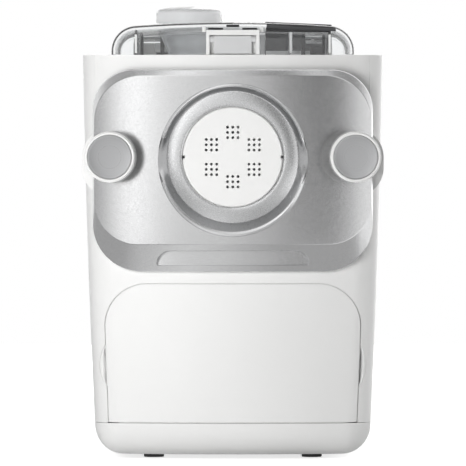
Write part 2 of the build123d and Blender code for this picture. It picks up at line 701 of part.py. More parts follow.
def gear(module, teeth, front, back, z, tooth_at):
    """Spur gear along Y, with a tooth centred at this angle in the front view."""
    return along_y(Pos(0, z) * Rot(0, 0, tooth_at) * gear_blank(module, teeth), front, back)


def idler_z():
    return AXIS_Z - OUT_MODULE * (OUT_TEETH + PINION_TEETH) / 2


def motor_z():
    return idler_z() - FAST_MODULE * (WHEEL_TEETH + MOTOR_TEETH) / 2


def fast_y():
    """Front and back of the fast wheel."""
    front = GEARBOX_FRONT_Y + GEARBOX_WALL + 3
    return front, front + 8


def gear_front_y():
    return fast_y()[1] + 7


def gear_back_y():
    return gear_front_y() + 14


def make_output_gear():
    wheel = gear(OUT_MODULE, OUT_TEETH, gear_front_y(), gear_back_y(), AXIS_Z, -90)
    wheel -= ring_y(44, 18, gear_front_y() - 1, gear_front_y() + 4)
    wheel -= ring_y(44, 18, gear_back_y() - 4, gear_back_y() + 1)
    web_hole = rod_y(8, gear_front_y() - 1, gear_back_y() + 1, x=31)
    centre = Axis((0, 0, AXIS_Z), (0, 1, 0))
    wheel -= [web_hole.rotate(centre, 60 * index) for index in range(6)]
    return wheel - rod_y(SHAFT_R + 0.02, gear_front_y() - 1, gear_back_y() + 1)


def make_idler_gear():
    half_pitch = 180 / PINION_TEETH
    idler = gear(OUT_MODULE, PINION_TEETH, fast_y()[1] - 0.5, gear_back_y() + 1, idler_z(), 90 + half_pitch)
    idler += gear(FAST_MODULE, WHEEL_TEETH, *fast_y(), idler_z(), -90)
    idler -= ring_y(31, 16, fast_y()[0] - 1, fast_y()[0] + 2.5, z=idler_z())
    return idler - rod_y(IDLER_PIN_R + FIT, fast_y()[0] - 1, gear_back_y() + 2, z=idler_z())


def make_motor_pinion():
    half_pitch = 180 / MOTOR_TEETH
    pinion = gear(FAST_MODULE, MOTOR_TEETH, fast_y()[0] - 1, fast_y()[1] + 1, motor_z(), 90 + half_pitch)
    return pinion - rod_y(MOTOR_SHAFT_R + 0.02, fast_y()[0] - 2, fast_y()[1] + 2, z=motor_z())


def make_idler_pin():
    return rod_y(IDLER_PIN_R, GEARBOX_FRONT_Y + 0.5, gearbox_back_y() + 2.5, z=idler_z())


# ---- Gearbox, motor and bracket -----------------------------------------------------------------
def gearbox_back_y():
    return GEARBOX_FRONT_Y + GEARBOX_DEPTH - GEARBOX_WALL


def gearbox_outline(grow):
    circles = [(AXIS_Z, OUT_MODULE * (OUT_TEETH + 2) / 2 + 3)]
    circles += [(idler_z(), FAST_MODULE * (WHEEL_TEETH + 2) / 2 + 3), (motor_z(), 14.0)]
    edges = []
    for z, radius in circles:
        edges += (Pos(0, z) * Circle(radius + grow)).edges()
    return make_hull(edges)


def gearbox_screw_places():
    grow = OUT_MODULE * (OUT_TEETH + 2) / 2 + 9.5
    high = [(grow * cos(radians(a)), AXIS_Z + grow * sin(radians(a))) for a in (30, 150)]
    wide = FAST_MODULE * (WHEEL_TEETH + 2) / 2 + 9.5
    low = [(wide * cos(radians(a)), idler_z() + wide * sin(radians(a))) for a in (-25, 205)]
    return high + low


def screw_ears(front, back):
    return [rod_y(4.5, front, back, x=x, z=z) for x, z in gearbox_screw_places()]


def make_gearbox_housing():
    back = gearbox_back_y()
    box = along_y(gearbox_outline(GEARBOX_WALL), GEARBOX_FRONT_Y, back)
    box += screw_ears(GEARBOX_FRONT_Y, back)
    box -= along_y(gearbox_outline(0), GEARBOX_FRONT_Y + GEARBOX_WALL, back + 1)
    nose_front = CHAMBER_BACK_Y + 0.3
    box += rod_y(NOSE_R, nose_front, GEARBOX_FRONT_Y + 1)
    box += rod_y(NOSE_R, GEARBOX_FRONT_Y, GEARBOX_FRONT_Y + GEARBOX_WALL + 9)
    box -= rod_y(BEARING_R, nose_front - 1, nose_front + BEARING_WIDE)
    box -= rod_y(SHAFT_R + 2, nose_front - 1, GEARBOX_FRONT_Y + 30)
    box -= rod_y(BEARING_R, GEARBOX_FRONT_Y + GEARBOX_WALL, GEARBOX_FRONT_Y + 30)
    box -= rod_y(IDLER_PIN_R, GEARBOX_FRONT_Y - 1, GEARBOX_FRONT_Y + 5, z=idler_z())
    box -= rod_y(MOTOR_SHAFT_R + 1.5, GEARBOX_FRONT_Y - 1, GEARBOX_FRONT_Y + 5, z=motor_z())
    return box - [rod_y(THREAD_R, back - 14, back + 1, x=x, z=z) for x, z in gearbox_screw_places()]


def make_bearings():
    nose_front = CHAMBER_BACK_Y + 0.3
    rear = GEARBOX_FRONT_Y + GEARBOX_WALL
    rings = []
    for front in (nose_front + 0.1, rear + 0.1):
        points = [(SHAFT_R + FIT, front), (11.5, front), (11.5, front + 1), (13, front + 1), (13, front),
                  (BEARING_R - 0.02, front), (BEARING_R - 0.02, front + BEARING_WIDE - 0.2),
                  (SHAFT_R + FIT, front + BEARING_WIDE - 0.2)]
        rings.append(turned(points))
    return group(rings)


def make_gearbox_cover():
    back = gearbox_back_y()
    cover = along_y(gearbox_outline(GEARBOX_WALL), back, back + GEARBOX_WALL)
    cover += screw_ears(back, back + GEARBOX_WALL)
    cover -= rod_y(IDLER_PIN_R, back - 1, back + 10, z=idler_z())
    return cover - [rod_y(THREAD_R + 0.2, back - 1, back + 9, x=x, z=z) for x, z in gearbox_screw_places()]


def screw_y(head_y, x, z, length):
    """Screw along Y with its head at the back."""
    screw = rod_y(THREAD_R, head_y - length, head_y, x=x, z=z)
    screw += rod_y(SCREW_HEAD_R, head_y, head_y + 2.2, x=x, z=z)
    drive = along_y(Pos(x, z) * (Rectangle(3.6, 0.8) + Rectangle(0.8, 3.6)), head_y + 1.2, head_y + 3)
    return screw - drive


def make_gearbox_screws():
    head = gearbox_back_y() + GEARBOX_WALL + 0.02
    return group(screw_y(head, x, z, 14) for x, z in gearbox_screw_places())


def motor_span():
    back = GEARBOX_FRONT_Y - 0.1
    return back - MOTOR_LENGTH, back


def make_motor_casing():
    front, back = motor_span()
    can = rod_y(MOTOR_R, front, back, z=motor_z())
    can = fillet(can.edges().group_by(Axis.Y)[0], 4)
    can -= rod_y(MOTOR_R - 2.5, front + 3, back - 3, z=motor_z())
    can += ring_y(8, MOTOR_SHAFT_R + FIT, front - 2.5, front + 8, z=motor_z())
    can -= rod_y(MOTOR_SHAFT_R + FIT, front - 5, back + 1, z=motor_z())
    slot = along_y(Pos(0, motor_z() + 22) * RectangleRounded(7, 13, 3), front - 1, front + 5)
    centre = Axis((0, 0, motor_z()), (0, 1, 0))
    return can - [slot.rotate(centre, 60 * index) for index in range(6)]


def make_motor_rotor():
    front, back = motor_span()
    rotor = rod_y(MOTOR_SHAFT_R, front - MOTOR_SHAFT_PROUD, fast_y()[1] + 1, z=motor_z())
    core = rod_y(24, front + 22, back - 20, z=motor_z())
    slot = rod_y(1.6, front + 20, back - 18, x=23.6, z=motor_z())
    centre = Axis((0, 0, motor_z()), (0, 1, 0))
    core -= [slot.rotate(centre, 30 * index) for index in range(12)]
    return rotor + core + rod_y(12, front + 12, front + 20, z=motor_z())


def make_fan():
    back = motor_span()[0] - 3.2
    fan = rod_y(9, back - 10, back, z=motor_z())
    blade = block(7, FAN_R, back - 9, back - 1, motor_z() - 0.9, motor_z() + 0.9)
    blade = blade.rotate(Axis((0, back - 5, motor_z()), (1, 0, 0)), 32)
    centre = Axis((0, 0, motor_z()), (0, 1, 0))
    fan += [blade.rotate(centre, 360 / FAN_BLADES * index) for index in range(FAN_BLADES)]
    return fan - rod_y(MOTOR_SHAFT_R + 0.02, back - 20, back + 5, z=motor_z())


def make_drive_bracket():
    """Angle bracket: foot bolted to the base tray, upright behind the gearbox, cradle under the motor."""
    floor = FOOT_PROUD + SHELL + 10.1
    upright_y = gearbox_back_y() + GEARBOX_WALL + 0.05
    foot = block(-42, 42, GEARBOX_FRONT_Y - 48, upright_y + 3, floor, floor + 3)
    upright = block(-32, 32, upright_y, upright_y + 3, floor, idler_z() - 25)
    bracket = foot + upright
    saddle_y = GEARBOX_FRONT_Y - 44
    saddle = block(-30, 30, saddle_y, saddle_y + 8, floor, motor_z() - 18)
    bracket += saddle - rod_y(MOTOR_R + 0.1, saddle_y - 12, saddle_y + 18, z=motor_z())
    bracket -= rod_y(6, upright_y - 1, upright_y + 5, z=motor_z())
    bracket -= [Pos(x, y, floor) * Cylinder(THREAD_R + 0.2, 20) for x, y in base_screw_places()]
    return bracket


def make_base_screws():
    head = FOOT_PROUD + 2.2
    shank = Pos(0, 0, head + 9) * Cylinder(THREAD_R - 0.02, 18)
    cap = Pos(0, 0, head - 1) * Cylinder(SCREW_HEAD_R, 2)
    drive = Pos(0, 0, head - 2) * (Box(3.6, 0.8, 1.6) + Box(0.8, 3.6, 1.6))
    return group(Pos(x, y, 0) * (shank + cap - drive) for x, y in base_screw_places())


# ---- Drawer -------------------------------------------------------------------------------------
def make_drawer_front():
    skin = (OUTER - body_form(DRAWER_FRONT_THICK)) & along_y(drawer_outline(0.0), WALL_Y - 5, SEAM_Y + 20)
    return skin & above(BASE_SEAM_Z + DRAWER_GAP) & block(-200, 200, -300, SEAM_Y - 0.5, 0, 400)


def tray_front_y():
    return WALL_Y + DRAWER_FRONT_THICK + sag(FRONT_BOW, TRAY_HALF) + 0.3


def make_drawer_tray():
    back = bay_back_y() - TRAY_BACK_GAP
    tray = block(-TRAY_HALF, TRAY_HALF, tray_front_y() - 12, back, TRAY_LOW_Z, TRAY_TOP_Z)
    tray = fillet(tray.edges().filter_by(Axis.Z).group_by(Axis.Y)[-1], 12)
    half, front = TRAY_HALF - TRAY_WALL, tray_front_y() + TRAY_WALL
    inside = block(-half, half, front, back - TRAY_WALL, TRAY_LOW_Z + TRAY_WALL, TRAY_TOP_Z + 5)
    inside = fillet(inside.edges().filter_by(Axis.Z), 10)
    tray -= inside
    tray &= body_form(DRAWER_FRONT_THICK + 0.1)
    lip_low = RAIL_Z + RAIL_TALL + SLIP
    lip = block(TRAY_HALF, TRAY_HALF + 3.5, tray_front_y() + 14, back - 14, lip_low, lip_low + 3)
    for solid in both_sides(lip):
        tray += solid
    return tray


def bay_half():
    return TRAY_HALF + 4.5


def bay_back_y():
    return motor_span()[0] - MOTOR_SHAFT_PROUD - BAY_CLEAR


def make_drawer_bay():
    front = SEAM_Y + 0.5
    half, low, top = bay_half(), BASE_SEAM_Z + 1.0, DRAWER_TOP_Z + 1.5
    bay = block(-half - BAY_WALL, half + BAY_WALL, front, bay_back_y(), low, top)
    bay -= block(-half, half, front - 1, bay_back_y() - BAY_WALL, low + BAY_WALL, top - BAY_WALL)
    bay -= block(-half + 14, half - 14, front - 1, bay_back_y() - 14, low - 1, low + 5)
    return bay & body_form(SHELL + 0.1)


def make_drawer_runners():
    front = SEAM_Y + 2
    rail = block(TRAY_HALF + 0.4, bay_half() - 0.05, front, bay_back_y() - 6, RAIL_Z, RAIL_Z + RAIL_TALL)
    return group(both_sides(rail))


# ---- Lid ----------------------------------------------------------------------------------------
def lid_low_z():
    return RIM_Z + 0.3


def lid_front_y():
    return WALL_Y + LID_FRONT


def lid_back_y():
    return lid_front_y() + LID_LENGTH


def lid_form(inset, open_below):
    """Straight sides and a gently crowned top, with round shoulders and a rounded front."""
    low, high, half = lid_low_z() - open_below, LID_SHOULDER_Z - inset, LID_HALF - inset
    crown = ThreePointArc((half, high), (0, LID_TOP_Z - inset), (-half, high))
    base = Polyline((-half, high), (-half, low), (half, low), (half, high))
    outline = make_face([crown] + base.edges())
    outline = fillet(outline.vertices().group_by(Axis.Y)[-1], LID_SHOULDER - inset)
    form = along_y(outline, lid_front_y() + inset, lid_back_y() - inset)
    front = [e for e in form.edges() if e.bounding_box().max.Y < lid_front_y() + inset + 0.1
             and e.center().Z > low + 0.5]
    return fillet(front, LID_ROUND - inset)


def make_lid():
    lid = lid_form(0.0, 0) - lid_form(LID_WALL, 3)
    axis_y = hinge_y()
    for x in (-HINGE_X, HINGE_X):
        side = Plane.YZ.offset(x - HINGE_EAR_WIDE / 2)
        ear_shape = Pos(axis_y, HINGE_Z) * Circle(HINGE_EAR_R)
        web = Pos((axis_y + lid_back_y() - 1) / 2, HINGE_Z) * Rectangle(axis_y - lid_back_y() + 1, 8)
        lid += extrude(side * (ear_shape + web), amount=HINGE_EAR_WIDE)
        lid -= extrude(side * Pos(axis_y, HINGE_Z) * Circle(HINGE_PIN_R + FIT), amount=HINGE_EAR_WIDE)
    lid -= Pos(INLET_X, INLET_Y, LID_TOP_Z) * Cylinder(INLET_HOLE_R, 20)
    return lid


def hinge_y():
    return lid_back_y() + HINGE_BACK


def make_hinge_brackets():
    plates = []
    for x in (-HINGE_X, HINGE_X):
        for inner in (HINGE_EAR_WIDE / 2 + SLIP, -HINGE_EAR_WIDE / 2 - SLIP - 3):
            side = Plane.YZ.offset(x + inner)
            low = deck_top()
            shape = Pos(hinge_y(), HINGE_Z) * Circle(HINGE_EAR_R)
            shape += Pos(hinge_y(), (low + HINGE_Z) / 2) * Rectangle(2 * HINGE_EAR_R, HINGE_Z - low)
            shape -= Pos(hinge_y(), HINGE_Z) * Circle(HINGE_PIN_R + 0.02)
            plates.append(extrude(side * shape, amount=3))
    return group(plates)


def make_hinge_pins():
    long = HINGE_EAR_WIDE + 2 * SLIP + 6
    return group(Pos(x, hinge_y(), HINGE_Z) * Rot(0, 90, 0) * Cylinder(HINGE_PIN_R, long)
                 for x in (-HINGE_X, HINGE_X))


def make_inlet_cap():
    top, seat = INLET_TOP_Z, LID_TOP_Z + 0.2
    skirt = INLET_HOLE_R - SLIP
    points = [(0, top), (INLET_R - 1.5, top), (INLET_R, top - 1.5), (INLET_R, seat), (skirt, seat),
              (skirt, seat - 5), (skirt - 2, seat - 5), (skirt - 2, top - 2), (0, top - 2)]
    outline = make_face(Polyline(*[(r, 0, z) for r, z in points], close=True))
    cap = revolve(outline, Axis.Z)
    return Pos(INLET_X, INLET_Y, 0) * cap


def latch_front_y():
    return lid_front_y() - LATCH_DEEP - 0.2


def make_latch_frame():
    """Inverted U on the lid's front: crossbar and two legs."""
    back = lid_front_y() - 0.1
    low = lid_low_z()
    frame = block(-LATCH_HALF, LATCH_HALF, latch_front_y(), back, LATCH_TOP_Z - LATCH_BAR, LATCH_TOP_Z)
    for side in (-1, 1):
        outer, inner = side * LATCH_HALF, side * (LATCH_HALF - LATCH_LEG)
        frame += block(min(outer, inner), max(outer, inner), latch_front_y(), back, low, LATCH_TOP_Z)
    frame += block(-LATCH_HALF, LATCH_HALF, back - 1.2, back, low, LATCH_TOP_Z)
    hole = Pos(0, latch_pivot()[0], latch_pivot()[1]) * Rot(0, 90, 0) * Cylinder(1.02, 2 * LATCH_HALF - 2)
    return frame - hole


def latch_pivot():
    return latch_front_y() + 3.0, LATCH_TOP_Z - LATCH_BAR - 3.0


def make_lid_latch():
    y, z = latch_pivot()
    face = latch_front_y() + 0.6
    profile = Polyline((face, lid_low_z() + 0.6), (face, z + 2.2), (y + 1.5, z + 2.2), (y + 1.5, z - 3),
                       (face + 2, lid_low_z() + 3), (face + 3.2, lid_low_z() + 0.6), close=True)
    latch = extrude(Plane.YZ.offset(-LATCH_BLOCK_HALF) * make_face(profile), amount=2 * LATCH_BLOCK_HALF)
    hub = Pos(0, y, z) * Rot(0, 90, 0) * Cylinder(2.4, 2 * (LATCH_HALF - LATCH_LEG - SLIP))
    return latch + hub - Pos(0, y, z) * Rot(0, 90, 0) * Cylinder(1.0 + FIT, 60)


def make_latch_pin():
    y, z = latch_pivot()
    return Pos(0, y, z) * Rot(0, 90, 0) * Cylinder(1.0, 2 * LATCH_HALF - 2.4)


# ---- Control panel ------------------------------------------------------------------------------
def console_front_y():
    return hinge_y() + CONSOLE_FRONT_GAP


def console_plane():
    """Plane of the sloping top: local x to the right, local y up the slope, local z outwards."""
    middle = (0, console_front_y() + CONSOLE_LENGTH / 2, CONSOLE_LOW_Z + CONSOLE_RISE / 2)
    normal = (0, -CONSOLE_RISE, CONSOLE_LENGTH)
    return Plane(origin=middle, x_dir=(1, 0, 0), z_dir=normal)


def on_console(solid):
    return console_plane() * solid


def button_places():
    wide = WINDOW_LONG / 2 + 11
    return {"power_button": (-wide, 0), "program_button": (wide, BUTTON_SPACE / 2),
            "extrude_button": (wide, -BUTTON_SPACE / 2), "start_button": (wide + BUTTON_SPACE, 0)}


def console_block(inset):
    low = deck_top() + 0.05 - inset
    plan = RectangleRounded(2 * (PANELTOP_HALF - inset), CONSOLE_LENGTH - 2 * inset, CONSOLE_CORNER - inset)
    solid = Pos(0, console_front_y() + CONSOLE_LENGTH / 2, low) * extrude(plan, amount=60)
    return solid & on_console(Pos(0, 0, -100 - inset) * Box(400, 400, 200))


def make_control_panel():
    panel = console_block(0.0)
    rim = [e for e in panel.edges() if e.center().Z > CONSOLE_LOW_Z - 2 and abs((e @ 1 - e @ 0).Z) < 12
           and e.bounding_box().min.Z > CONSOLE_LOW_Z - 1]
    panel = fillet(rim, 2.0)
    panel -= console_block(CONSOLE_WALL)
    panel -= on_console(Box(WINDOW_LONG, WINDOW_WIDE, 2 * WINDOW_THICK))
    panel -= on_console(Box(WINDOW_LONG - 6, WINDOW_WIDE - 6, 12))
    for x, y in button_places().values():
        panel -= on_console(Pos(x, y, 0) * Cylinder(BUTTON_R + SLIP, 12))
    for x in (-58, 58):
        for y in (-30, 30):
            panel += on_console(Pos(x, y, -(BOARD_DROP + CONSOLE_WALL) / 2 + 0.5) *
                                Cylinder(3, BOARD_DROP - CONSOLE_WALL + 0.9))
    return panel


def make_display_window():
    pane = Box(WINDOW_LONG - 0.2, WINDOW_WIDE - 0.2, WINDOW_THICK - 0.1)
    return on_console(Pos(0, 0, -WINDOW_THICK / 2) * pane)


def make_display_module():
    top, base = -WINDOW_THICK - 0.8, -BOARD_DROP + 0.05
    return on_console(Pos(0, 0, (top + base) / 2) * Box(WINDOW_LONG - 7, WINDOW_WIDE - 7, top - base))


def make_circuit_board():
    board = Box(2 * PANELTOP_HALF - 16, CONSOLE_LENGTH - 16, BOARD_THICK)
    board = Pos(0, 0, -BOARD_DROP - BOARD_THICK / 2) * board
    for x, y in button_places().values():
        board += Pos(x, y, -BOARD_DROP + 1) * Box(6, 6, 2)
    return on_console(board) & above(deck_top() + 0.3)


def make_button(place):
    x, y = place
    cap = Pos(x, y, BUTTON_PROUD - BUTTON_TALL / 2) * Cylinder(BUTTON_R, BUTTON_TALL)
    cap = fillet(cap.edges().group_by(Axis.Z)[-1], 0.8)
    stem_low = -BOARD_DROP + 2 + 1.5
    stem_high = BUTTON_PROUD - BUTTON_TALL
    cap += Pos(x, y, (stem_low + stem_high) / 2) * Cylinder(2, stem_high - stem_low + 0.2)
    return on_console(cap)


# ---- Power inlet --------------------------------------------------------------------------------
def socket_face_y():
    return REAR_Y - sag(BACK_BOW, INLET_SOCKET_X + SOCKET_WIDE / 2) + 0.2


def make_power_inlet():
    place = Pos(INLET_SOCKET_X, INLET_SOCKET_Z)
    face = socket_face_y()
    shroud = RectangleRounded(SOCKET_WIDE + 4, SOCKET_TALL + 4, 3.8)
    body = along_y(place * shroud, face - SOCKET_DEEP - 4, face)
    collar_back = REAR_Y - SHELL - sag(BACK_BOW, INLET_SOCKET_X + SOCKET_WIDE / 2 + 5) - 0.3
    collar = RectangleRounded(SOCKET_WIDE + 10, SOCKET_TALL + 10, 3.8)
    body += along_y(place * collar, collar_back - 2.2, collar_back)
    return body - along_y(place * RectangleRounded(SOCKET_WIDE, SOCKET_TALL, 3), face - SOCKET_DEEP, face + 1)


def make_inlet_contacts():
    root = socket_face_y() - SOCKET_DEEP
    places = [(INLET_SOCKET_X - 7, INLET_SOCKET_Z - 2), (INLET_SOCKET_X, INLET_SOCKET_Z + 2),
              (INLET_SOCKET_X + 7, INLET_SOCKET_Z - 2)]
    return group(block(x - 1, x + 1, root + 0.02, root + 11, z - 2, z + 2) for x, z in places)


# ---- The whole ----------------------------------------------------------------------------------
def all_nodes():
    nodes = {
        "base_tray": make_base_tray(),
        "outer_housing": make_outer_housing(),
        "front_fascia": make_fascia(),
        "top_deck": make_top_deck(),
        "rubber_feet": make_feet(),
        "base_screws": make_base_screws(),
        "mixing_chamber": make_mixing_chamber(),
        "shaft_seal": make_shaft_seal(),
        "front_panel": make_front_panel(),
        "cap_seat_ring": make_cap_seat_ring(),
        "extrusion_tube": make_extrusion_tube(),
        "tube_seal": make_tube_seal(),
        "shaping_disc": make_shaping_disc(),
        "ring_cap": make_ring_cap(),
        "clamp_studs": group(both_sides(make_stud())),
        "extrusion_screw": make_extrusion_screw(),
        "mixing_paddle": make_mixing_paddle(),
        "drive_shaft": make_drive_shaft(),
        "output_gear": make_output_gear(),
        "idler_gear": make_idler_gear(),
        "idler_pin": make_idler_pin(),
        "motor_pinion": make_motor_pinion(),
        "motor_rotor": make_motor_rotor(),
        "motor_casing": make_motor_casing(),
        "cooling_fan": make_fan(),
        "gearbox_housing": make_gearbox_housing(),
        "gearbox_cover": make_gearbox_cover(),
        "gearbox_screws": make_gearbox_screws(),
        "shaft_bearings": make_bearings(),
        "drive_bracket": make_drive_bracket(),
        "drawer_front": make_drawer_front(),
        "drawer_tray": make_drawer_tray(),
        "drawer_bay": make_drawer_bay(),
        "drawer_runners": make_drawer_runners(),
        "lid": make_lid(),
        "hinge_brackets": make_hinge_brackets(),
        "hinge_pins": make_hinge_pins(),
        "inlet_cap": make_inlet_cap(),
        "latch_frame": make_latch_frame(),
        "lid_latch": make_lid_latch(),
        "latch_pin": make_latch_pin(),
        "control_panel": make_control_panel(),
        "display_window": make_display_window(),
        "display_module": make_display_module(),
        "circuit_board": make_circuit_board(),
        "power_inlet": make_power_inlet(),
        "inlet_contacts": make_inlet_contacts(),
    }
    for name, make in (("knob", make_knob), ("knob_face", make_knob_face), ("knob_nut", make_nut)):
        right = make()
        nodes["right_" + name] = right
        nodes["left_" + name] = mirror(right, about=Plane.YZ)
    for name, place in button_places().items():
        nodes[name] = make_button(place)
    return nodes


os.makedirs("parts", exist_ok=True)
for node, solid in all_nodes().items():
    export_step(solid, "parts/" + node + ".step")
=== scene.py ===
import math

import bmesh
import bpy
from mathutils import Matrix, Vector


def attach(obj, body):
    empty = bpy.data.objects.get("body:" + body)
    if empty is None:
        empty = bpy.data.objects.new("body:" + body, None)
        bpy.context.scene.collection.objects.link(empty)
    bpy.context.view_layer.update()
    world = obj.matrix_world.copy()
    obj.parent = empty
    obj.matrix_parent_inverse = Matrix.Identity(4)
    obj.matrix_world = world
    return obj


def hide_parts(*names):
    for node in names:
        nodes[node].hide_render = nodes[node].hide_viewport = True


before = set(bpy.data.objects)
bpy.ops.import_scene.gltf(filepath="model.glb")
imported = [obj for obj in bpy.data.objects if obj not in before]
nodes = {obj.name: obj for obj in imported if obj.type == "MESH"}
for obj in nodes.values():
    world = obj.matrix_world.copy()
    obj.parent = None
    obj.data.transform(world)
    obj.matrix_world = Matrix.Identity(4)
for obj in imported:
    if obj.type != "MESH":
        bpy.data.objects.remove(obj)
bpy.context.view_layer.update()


# ---- Camera, floor, lamps and room --------------------------------------------------------------
# A very long lens five metres off, at three quarters of the machine's height and tipped a little
# down. White paper underneath, a soft lamp close by on the left, and others further off all round.
CAMERA_PLACE = (0.00014, -5.2, 0.24)
CAMERA_TIP = math.radians(0.8907)
CAMERA_LENS = 547.4
AIM = Vector((0, 0, 0.16))

bpy.ops.object.select_all(action="DESELECT")
bpy.ops.object.camera_add(location=CAMERA_PLACE)
camera = bpy.context.object
camera.name = "camera"
camera.data.sensor_width = 36
camera.data.lens = CAMERA_LENS
camera.data.clip_end = 80
camera.rotation_euler = (math.pi / 2 - CAMERA_TIP, 0, 0)
bpy.context.scene.camera = camera
bpy.context.scene.view_settings.view_transform = "Standard"


def put(tree, kind, values=(), **settings):
    """Adds a shader node, sets its options and gives its sockets their values."""
    node = tree.nodes.new("ShaderNode" + kind)
    for option, value in settings.items():
        setattr(node, option, value)
    for socket, value in dict(values).items():
        node.inputs[socket].default_value = value
    return node


def sums(tree, operation, first, second=None, third=None):
    """Math node; a number is typed into its socket and anything else is wired to it."""
    node = put(tree, "Math", operation=operation)
    for index, value in enumerate((first, second, third)):
        if isinstance(value, (int, float)):
            node.inputs[index].default_value = value
        elif value is not None:
            tree.links.new(value, node.inputs[index])
    return node.outputs[0]


# To the camera the paper glows, more so further out, so that its far edge doesn't show. Gloss sees
# it grey, with a paler pool a little to the left and a bright stretch far to the right.
GLOW_LEAST = 0.7
GLOW_START = 0.4
GLOW_RISE = 0.3            # for each metre from the middle
POOL_X = -0.064
POOL_BRIGHT = 0.84
POOL_FALL = 3.0            # for each metre to either side
POOL_LEAST = 0.46
RIGHT_START = -2.9
RIGHT_RISE = 12.0          # for each metre to the right
RIGHT_BRIGHT = 1.1

bpy.ops.mesh.primitive_circle_add(vertices=96, radius=2.5, fill_type="NGON", location=(0, 0, -0.0006))
floor = bpy.context.object
floor.name = "floor"
floor_paper = bpy.data.materials.new("floor_paper")
floor_paper.use_nodes = True
tree = floor_paper.node_tree
tree.nodes.clear()
paper = put(tree, "BsdfDiffuse", {"Color": (0.82, 0.82, 0.82, 1)})
lift = put(tree, "Emission")
rays = put(tree, "LightPath")
seen = sums(tree, "MAXIMUM", rays.outputs["Is Camera Ray"], rays.outputs["Is Transmission Ray"])
reach = put(tree, "VectorMath", operation="LENGTH")
tree.links.new(put(tree, "TexCoord").outputs["Object"], reach.inputs[0])
glow = sums(tree, "MULTIPLY_ADD", reach.outputs["Value"], GLOW_RISE, GLOW_START)
glow = sums(tree, "MAXIMUM", glow, GLOW_LEAST)
tree.links.new(sums(tree, "MULTIPLY", seen, glow), lift.inputs["Strength"])
both = put(tree, "AddShader")
tree.links.new(paper.outputs[0], both.inputs[0])
tree.links.new(lift.outputs[0], both.inputs[1])
in_gloss = put(tree, "Emission")
split = put(tree, "SeparateXYZ")
tree.links.new(put(tree, "TexCoord").outputs["Object"], split.inputs[0])
aside = sums(tree, "ABSOLUTE", sums(tree, "SUBTRACT", split.outputs["X"], POOL_X))
pool = sums(tree, "MAXIMUM", sums(tree, "MULTIPLY_ADD", aside, -POOL_FALL, POOL_BRIGHT), POOL_LEAST)
far_right = sums(tree, "MULTIPLY_ADD", split.outputs["X"], RIGHT_RISE, RIGHT_START)
far_right = sums(tree, "MINIMUM", far_right, RIGHT_BRIGHT)
tree.links.new(sums(tree, "MAXIMUM", pool, far_right), in_gloss.inputs["Strength"])
pick = put(tree, "MixShader")
tree.links.new(rays.outputs["Is Glossy Ray"], pick.inputs["Fac"])
tree.links.new(both.outputs[0], pick.inputs[1])
tree.links.new(in_gloss.outputs[0], pick.inputs[2])
tree.links.new(pick.outputs[0], put(tree, "OutputMaterial").inputs["Surface"])
floor.data.materials.append(floor_paper)


def hang_lamp(name, place, size, power):
    """Soft square lamp aimed at the middle of the machine. It shows in no gloss and in no view."""
    bpy.ops.object.light_add(type="AREA", location=place)
    lamp = bpy.context.object
    lamp.name = name
    lamp.data.shape = "SQUARE"
    lamp.data.size = size
    lamp.data.energy = power
    lamp.rotation_euler = (Vector(place) - AIM).to_track_quat("Z", "Y").to_euler()
    lamp.visible_glossy = False
    lamp.visible_camera = False
    lamp.visible_transmission = False


hang_lamp("lamp_left", (-0.33, -0.87, 0.22), 0.42, 4.6)
hang_lamp("lamp_right", (1.5, 0.45, 0.4), 0.5, 9)
hang_lamp("lamp_above", (0, 0.1, 2.0), 1.4, 8)
hang_lamp("lamp_back_left", (-0.8, 2.0, 0.8), 0.9, 16)
hang_lamp("lamp_back_right", (0.9, 2.0, 0.8), 0.9, 12)

# Plain light all round. Gloss sees a white room behind the machine, dim walls beside it, and ahead
# of it two bright panels. The wall between them darkens to the right, and together they draw the
# bands down the silver front.
ROOM_BRIGHTEST = 2         # a colour ramp ends at 1, so its stops hold shares of this
ROOM_BANDS = (  # degrees to the right of straight ahead, brightness of the room there
    (-180, 1.0), (-95, 1.0), (-70, 0.5), (-45, 0.45), (-34, 0.28), (-26, 1.95), (-16, 1.0), (-4, 0.85),
    (6, 0.7), (15, 0.26), (27, 0.06), (34, 1.4), (46, 0.4), (70, 0.35), (95, 1.0), (180, 1.0),
)
room = bpy.data.worlds.new("room")
bpy.context.scene.world = room
room.use_nodes = True
tree = room.node_tree
tree.nodes.clear()
light = put(tree, "Background", {"Color": (1, 1, 1, 1), "Strength": 0.14})
shown = put(tree, "Background", {"Color": (1, 1, 1, 1), "Strength": 1})
gloss = put(tree, "Background", {"Strength": ROOM_BRIGHTEST})
rays = put(tree, "LightPath")
split = put(tree, "SeparateXYZ")
tree.links.new(put(tree, "TexCoord").outputs["Generated"], split.inputs[0])
turn = sums(tree, "ARCTAN2", split.outputs["X"], sums(tree, "MULTIPLY", split.outputs["Y"], -1))
bands = put(tree, "ValToRGB")
bands.color_ramp.interpolation = "EASE"
for index, (degrees, bright) in enumerate(ROOM_BANDS):
    at = (degrees + 180) / 360
    grey = bright / ROOM_BRIGHTEST
    stop = bands.color_ramp.elements[0] if index == 0 else bands.color_ramp.elements.new(at)
    stop.position = at
    stop.color = (grey, grey, grey, 1)
bands.color_ramp.elements.remove(bands.color_ramp.elements[-1])
tree.links.new(sums(tree, "MULTIPLY_ADD", turn, 0.5 / math.pi, 0.5), bands.inputs["Fac"])
tree.links.new(bands.outputs["Color"], gloss.inputs["Color"])
pick_gloss = put(tree, "MixShader")
pick_shown = put(tree, "MixShader")
seen = sums(tree, "MAXIMUM", rays.outputs["Is Camera Ray"], rays.outputs["Is Transmission Ray"])
tree.links.new(rays.outputs["Is Glossy Ray"], pick_gloss.inputs["Fac"])
tree.links.new(light.outputs[0], pick_gloss.inputs[1])
tree.links.new(gloss.outputs[0], pick_gloss.inputs[2])
